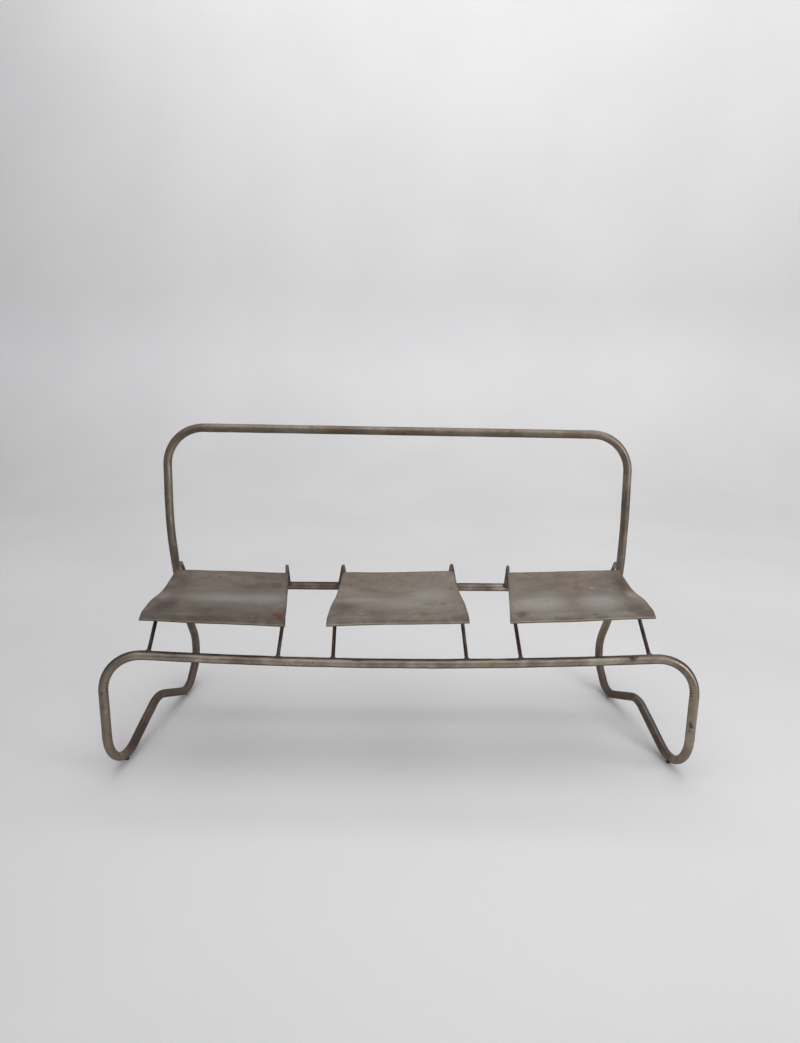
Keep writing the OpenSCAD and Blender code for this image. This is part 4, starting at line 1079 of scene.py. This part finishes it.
DINGS = {
    "left": [(-60, 300, 22, 0.7), (95, 140, 16, 0.5), (-120, 60, 18, 0.6), (30, 60, 26, 0.5)],
    "middle": [(-110, 290, 18, 0.6), (40, 210, 20, 0.5), (115, 120, 18, 0.6), (-40, 70, 24, 0.5)],
    "right": [(70, 250, 20, 0.7), (-80, 180, 24, 0.5), (20, 60, 18, 0.6), (140, 160, 16, 0.5)],
}
# the lighter grey spots across the middle of each sheet are its painted sheen band
SPOTS = {  # kind, x, y, reach along x, reach along y, amount, on each sheet before it is placed
    "left": [
        ("violet", -142, 78, 28.3, 45.5, 0.9), ("grey", -156, 172, 14.1, 35.5, 0.45), ("dark", -143, 222, 5.65, 37.5, 0.1),
        ("grey", 28, 165, 128, 50, 0.75), ("grey", 123, 195, 41.1, 53, 0.35), ("grey", -46, 254, 51.4, 9.5, 0.25),
        ("brown", -122, 303, 23.1, 43.5, 0.6), ("dark", -122, 261, 6.42, 11, 0.25), ("dark", -29, 339, 3.6, 4.5, 0.95),
        ("dark", 25, 363, 2.31, 2.5, 0.6), ("rust", 84, 343, 15.4, 15, 0.22), ("violet", 139, 291, 15.4, 18, 0.8),
        ("brown", 64, 277, 30.8, 14.5, 0.3), ("rust", 163, 33, 19.3, 24, 0.95), ("rust", 89, 32, 33.4, 18.5, 0.34),
        ("rust", -23, 29, 46.3, 20, 0.14), ("olive", -105, 20, 10.3, 7, 0.6), ("dark", -99, 19, 3.08, 2, 0.5),
        ("dark", -71, 39, 2.06, 3.5, 0.45), ("dark", -98, 0, 2.06, 1.5, 0.9), ("violet", -11, 64, 46.3, 20.5, 0.35),
        ("brown", -33, 13, 103, 10.5, 0.5), ("dark", 71, 93, 2.06, 3, 0.4), ("dark", 100, 96, 2.06, 3, 0.5), ("dark", -119, 366, 7.71, 5, 0.25),
    ],
    "middle": [
        ("olive", -30, 327, 66.8, 43.5, 0.45), ("brown", -141, 363, 18, 22, 0.6), ("dark", -109, 322, 2.31, 4, 0.95),
        ("dark", -102, 322, 2.31, 4, 0.9), ("dark", -138, 285, 2.83, 3.5, 0.85), ("dark", -124, 289, 1.54, 2.5, 0.7),
        ("dark", 45, 283, 2.31, 3.5, 0.8), ("dark", 30, 360, 3.08, 4, 0.8), ("dark", 82, 332, 1.8, 4, 0.55),
        ("grey", -104, 160, 43.7, 31, 0.75), ("violet", -153, 80, 30.8, 49, 0.95), ("grey", 0, 129, 56.5, 60.5, 0.5),
        ("grey", 92, 195, 51.4, 63.5, 0.65), ("dark", -3, 121, 2.06, 5, 0.55), ("dark", 100, 129, 3.08, 5.5, 0.6),
        ("dark", 121, 109, 3.34, 4.5, 0.85), ("dark", 154, 119, 1.8, 6.5, 0.85), ("dark", 151, 253, 4.11, 5.5, 0.6),
        ("wear", -94, 41, 2.06, 2.5, 0.9), ("dark", -92, 52, 2.06, 2, 0.5), ("violet", 158, 16, 28.3, 11, 0.8),
        ("violet", 176, 6, 7.71, 5.5, 0.9), ("rust", 1, 10, 30.8, 3.5, 0.25), ("brown", -141, 16, 30.8, 5, 0.4),
        ("violet", -52, 55, 46.3, 20.5, 0.35), ("dark", -89, 189, 3.85, 4.5, 0.3),
    ],
    "right": [
        ("olive", -100, 311, 51.4, 60.5, 0.5), ("rust", 51, 332, 36, 38, 0.2), ("brown", -14, 351, 25.7, 23.5, 0.4),
        ("grey", -97, 115, 72, 79, 0.8), ("grey", 68, 115, 51.4, 76.5, 0.85), ("brown", 25, 273, 14.1, 86, 0.38), ("wear", 64, 257, 4.37, 6, 1),
        ("wear", 112, 231, 5.65, 5, 0.7), ("wear", -165, 86, 2.31, 4.5, 1), ("dark", -152, 99, 5.65, 3, 0.3),
        ("brown", 152, 271, 12.8, 48.5, 0.9), ("dark", 145, 228, 8.99, 49.5, 0.14), ("brown", 139, 171, 8.99, 49.5, 0.7),
        ("grey", 155, 176, 15.4, 31.5, 0.9), ("dark", 132, 287, 3.34, 5, 0.75), ("dark", 34, 18, 4.37, 2, 0.9),
        ("dark", -130, 12, 2.31, 1.5, 0.8), ("dark", -107, 2, 2.06, 1.5, 0.7), ("dark", 124, 77, 2.57, 5, 0.5),
        ("violet", -149, 29, 18, 19.5, 0.8), ("violet", 147, 40, 30.8, 30.5, 0.85), ("violet", 162, 14, 18, 9, 0.6),
        ("violet", 147, 333, 20.6, 23.5, 0.5), ("violet", -51, 10, 36, 7, 0.3), ("grey", -6, 152, 20.6, 67, -0.15),
    ],
}
# overall tone of each sheet's upper face, with a painted sheen band across its middle
TONES = {
    "left": lambda x, y: 0.72 + 0.20 * np.exp(-((y - 170) / 62.0) ** 2) - 0.07 * np.clip((70 - y) / 70, 0, 1),
    "middle": lambda x, y: 0.95 + 0.13 * np.exp(-((y - 155) / 75.0) ** 2) - 0.05 * np.clip(-x / 180, 0, 1),
    "right": lambda x, y: 0.92 + 0.19 * np.exp(-((y - 135) / 70.0) ** 2) - 0.04 * np.clip((60 - y) / 60, 0, 1),
}
seat_piece("left", SPOTS["left"], 101)
seat_piece("middle", SPOTS["middle"], 113)
seat_piece("right", SPOTS["right"], 127)


# --------------------------------------------------------------------------------------------
# glides
# --------------------------------------------------------------------------------------------
def glide_piece(name, cx, cy):
    prof = [(0.6, 0.0), (GLIDE_R - 1.3, 0.0), (GLIDE_R - 0.6, 0.18), (GLIDE_R - 0.15, 0.6), (GLIDE_R, 1.2), (GLIDE_R, 3.4), (GLIDE_R - 0.25, 3.6),
            (GLIDE_R - 0.25, 3.95), (GLIDE_R, 4.15), (GLIDE_R - 0.1, 5.4), (GLIDE_R - 0.5, GLIDE_H + 1.4), (3.0, GLIDE_H + 1.5), (3.0, GLIDE_H + 5.0), (2.4, GLIDE_H + 6.6), (0.6, GLIDE_H + 6.6)]
    seg = 40
    a = np.arange(seg) * 2 * math.pi / seg
    v = np.array([[(cx + r * math.cos(t), cy + r * math.sin(t), z) for t in a] for r, z in prof])
    faces = [tuple(f) for f in grid_faces(len(prof), seg)]
    last = (len(prof) - 1) * seg
    faces += [tuple(range(seg - 1, -1, -1)), tuple(range(last, last + seg))]
    verts = v.reshape(-1, 3)
    ob = mesh_object(name + "_look", place(verts), faces, {"flow": verts * MM})
    mark_sharp(ob, 40)
    return finish_piece(ob, grey_rubber if name.startswith("rear") else black_rubber, name)


for g, (gx, gy) in GLIDES.items():
    glide_piece(g + "_glide", gx, gy)

# the sleeves inside the joints stay as they are
for n in ("upper_left_spigot", "upper_right_spigot", "front_left_spigot", "front_right_spigot"):
    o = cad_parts[n]
    o.data.materials.clear()
    o.data.materials.append(tube_steel)


# --------------------------------------------------------------------------------------------
# floor and backdrop, light, camera
# --------------------------------------------------------------------------------------------
def backdrop():
    t = Tree("backdrop")
    O = t.coords("Object")
    n = t.noise(O, 1.3, 4, 0.5)
    f = t.noise(O, 60, 5, 0.6)
    z = t.t.nodes.new("ShaderNodeSeparateXYZ")
    t.put(z.inputs[0], O)
    floor = t.mix(t.span(n, 0.3, 0.7), (0.620, 0.617, 0.620), (0.655, 0.650, 0.650))
    # a painted pool of light on the floor round the bench, which lifts its shadow
    near = t.t.nodes.new("ShaderNodeVectorMath")
    near.operation = "DISTANCE"
    t.put(near.inputs[0], O)
    near.inputs[1].default_value = (0.0, -0.3, 0.0)
    floor = t.mix(t.span(near.outputs["Value"], 0.4, 1.5, 0.9, 0.0), floor, (0.715, 0.711, 0.713))
    wall = t.mix(t.span(n, 0.3, 0.7), (0.735, 0.733, 0.740), (0.765, 0.763, 0.768))
    col = t.mix(t.span(z.outputs[2], 0.0, 0.9), floor, wall)
    t.put(t.bsdf.inputs["Base Color"], col)
    t.put(t.bsdf.inputs["Roughness"], t.span(f, 0.3, 0.7, 0.55, 0.7))
    t.bsdf.inputs["Specular IOR Level"].default_value = 0.25
    # a sweep: floor, a soft curve and a wall
    wall_y, r, top, front, half = 4.0, 1.3, 5.5, -6.0, 8.0
    prof = [(front, 0.0), (-2.0, 0.0), (wall_y - r, 0.0)]
    prof += [(wall_y - r + r * math.sin(k), r - r * math.cos(k)) for k in np.linspace(0, math.pi / 2, 25)[1:]]
    prof += [(wall_y, top)]
    xs = np.linspace(-half, half, 9)
    v = [(x, y, z) for x in xs for y, z in prof]
    n2 = len(prof)
    faces = [(i * n2 + j, (i + 1) * n2 + j, (i + 1) * n2 + j + 1, i * n2 + j + 1) for i in range(len(xs) - 1) for j in range(n2 - 1)]
    ob = mesh_object("backdrop", v, faces)
    ob.data.materials.append(t.mat)
    return ob


backdrop()

world = bpy.data.worlds.new("studio")
bpy.context.scene.world = world
world.use_nodes = True
wt = world.node_tree
wt.nodes.clear()
w_out = wt.nodes.new("ShaderNodeOutputWorld")
w_bg = wt.nodes.new("ShaderNodeBackground")
w_co = wt.nodes.new("ShaderNodeTexCoord")
w_sep = wt.nodes.new("ShaderNodeSeparateXYZ")
w_ramp = wt.nodes.new("ShaderNodeValToRGB")
wt.links.new(w_co.outputs["Generated"], w_sep.inputs[0])
wt.links.new(w_sep.outputs["Z"], w_ramp.inputs[0])
e = w_ramp.color_ramp.elements
e[0].position, e[0].color = 0.0, (0.46, 0.46, 0.465, 1)
e[1].position, e[1].color = 0.75, (0.72, 0.73, 0.75, 1)
wt.links.new(w_ramp.outputs[0], w_bg.inputs["Color"])
w_bg.inputs["Strength"].default_value = 0.66
wt.links.new(w_bg.outputs[0], w_out.inputs[0])


def area(name, at, to, size, power, color=(1, 1, 1)):
    light = bpy.data.lights.new(name, "AREA")
    light.shape = "RECTANGLE"
    light.size, light.size_y = size
    light.energy = power
    light.color = color
    ob = bpy.data.objects.new(name, light)
    bpy.context.scene.collection.objects.link(ob)
    at, to = np.array(at, float), np.array(to, float)
    z = unit(at - to)
    x = unit(np.cross([0, 0, 1], z))
    y = np.cross(z, x)
    ob.matrix_world = Matrix(((x[0], y[0], z[0], at[0]), (x[1], y[1], z[1], at[1]), (x[2], y[2], z[2], at[2]), (0, 0, 0, 1)))
    return ob


area("window", (3.3, -2.4, 2.0), (0, 0, 0.45), (1.9, 2.1), 55, (1.0, 0.985, 0.975))
area("ceiling", (0.1, -0.8, 3.7), (0, 0.2, 0.2), (4.2, 3.0), 55, (0.99, 0.99, 1.0))
area("fill_left", (-3.4, -1.6, 1.8), (0, 0, 0.4), (1.6, 2.0), 7, (0.98, 0.99, 1.0))

area("backdrop_light", (1.6, 1.9, 4.4), (1.9, 4.0, 1.1), (8.0, 1.4), 97, (1.0, 1.0, 1.0))

YAW, PITCH, ROLL = 0.01296, 0.3346, -0.01306
cf = np.array([math.sin(YAW) * math.cos(PITCH), math.cos(YAW) * math.cos(PITCH), -math.sin(PITCH)])
cr = np.array([math.cos(YAW), -math.sin(YAW), 0.0])
cd = np.cross(cf, cr)
r2 = cr * math.cos(ROLL) + cd * math.sin(ROLL)
d2 = -cr * math.sin(ROLL) + cd * math.cos(ROLL)
cam_data = bpy.data.cameras.new("camera")
cam = bpy.data.objects.new("camera", cam_data)
bpy.context.scene.collection.objects.link(cam)
C = (-0.02764, -2.903 + (1003.7 - Y_MID) * MM, 1.219)
cam.matrix_world = Matrix(((r2[0], -d2[0], -cf[0], C[0]), (r2[1], -d2[1], -cf[1], C[1]), (r2[2], -d2[2], -cf[2], C[2]), (0, 0, 0, 1)))
cam_data.sensor_width = 36.0
cam_data.sensor_fit = "AUTO"
cam_data.lens = 36.0 * 800.0 / 1043.0
cam_data.shift_x = -0.45 / 1043.0
cam_data.shift_y = 60.65 / 1043.0
cam_data.clip_end = 60
bpy.context.scene.camera = cam
bpy.context.scene.view_settings.view_transform = "Standard"
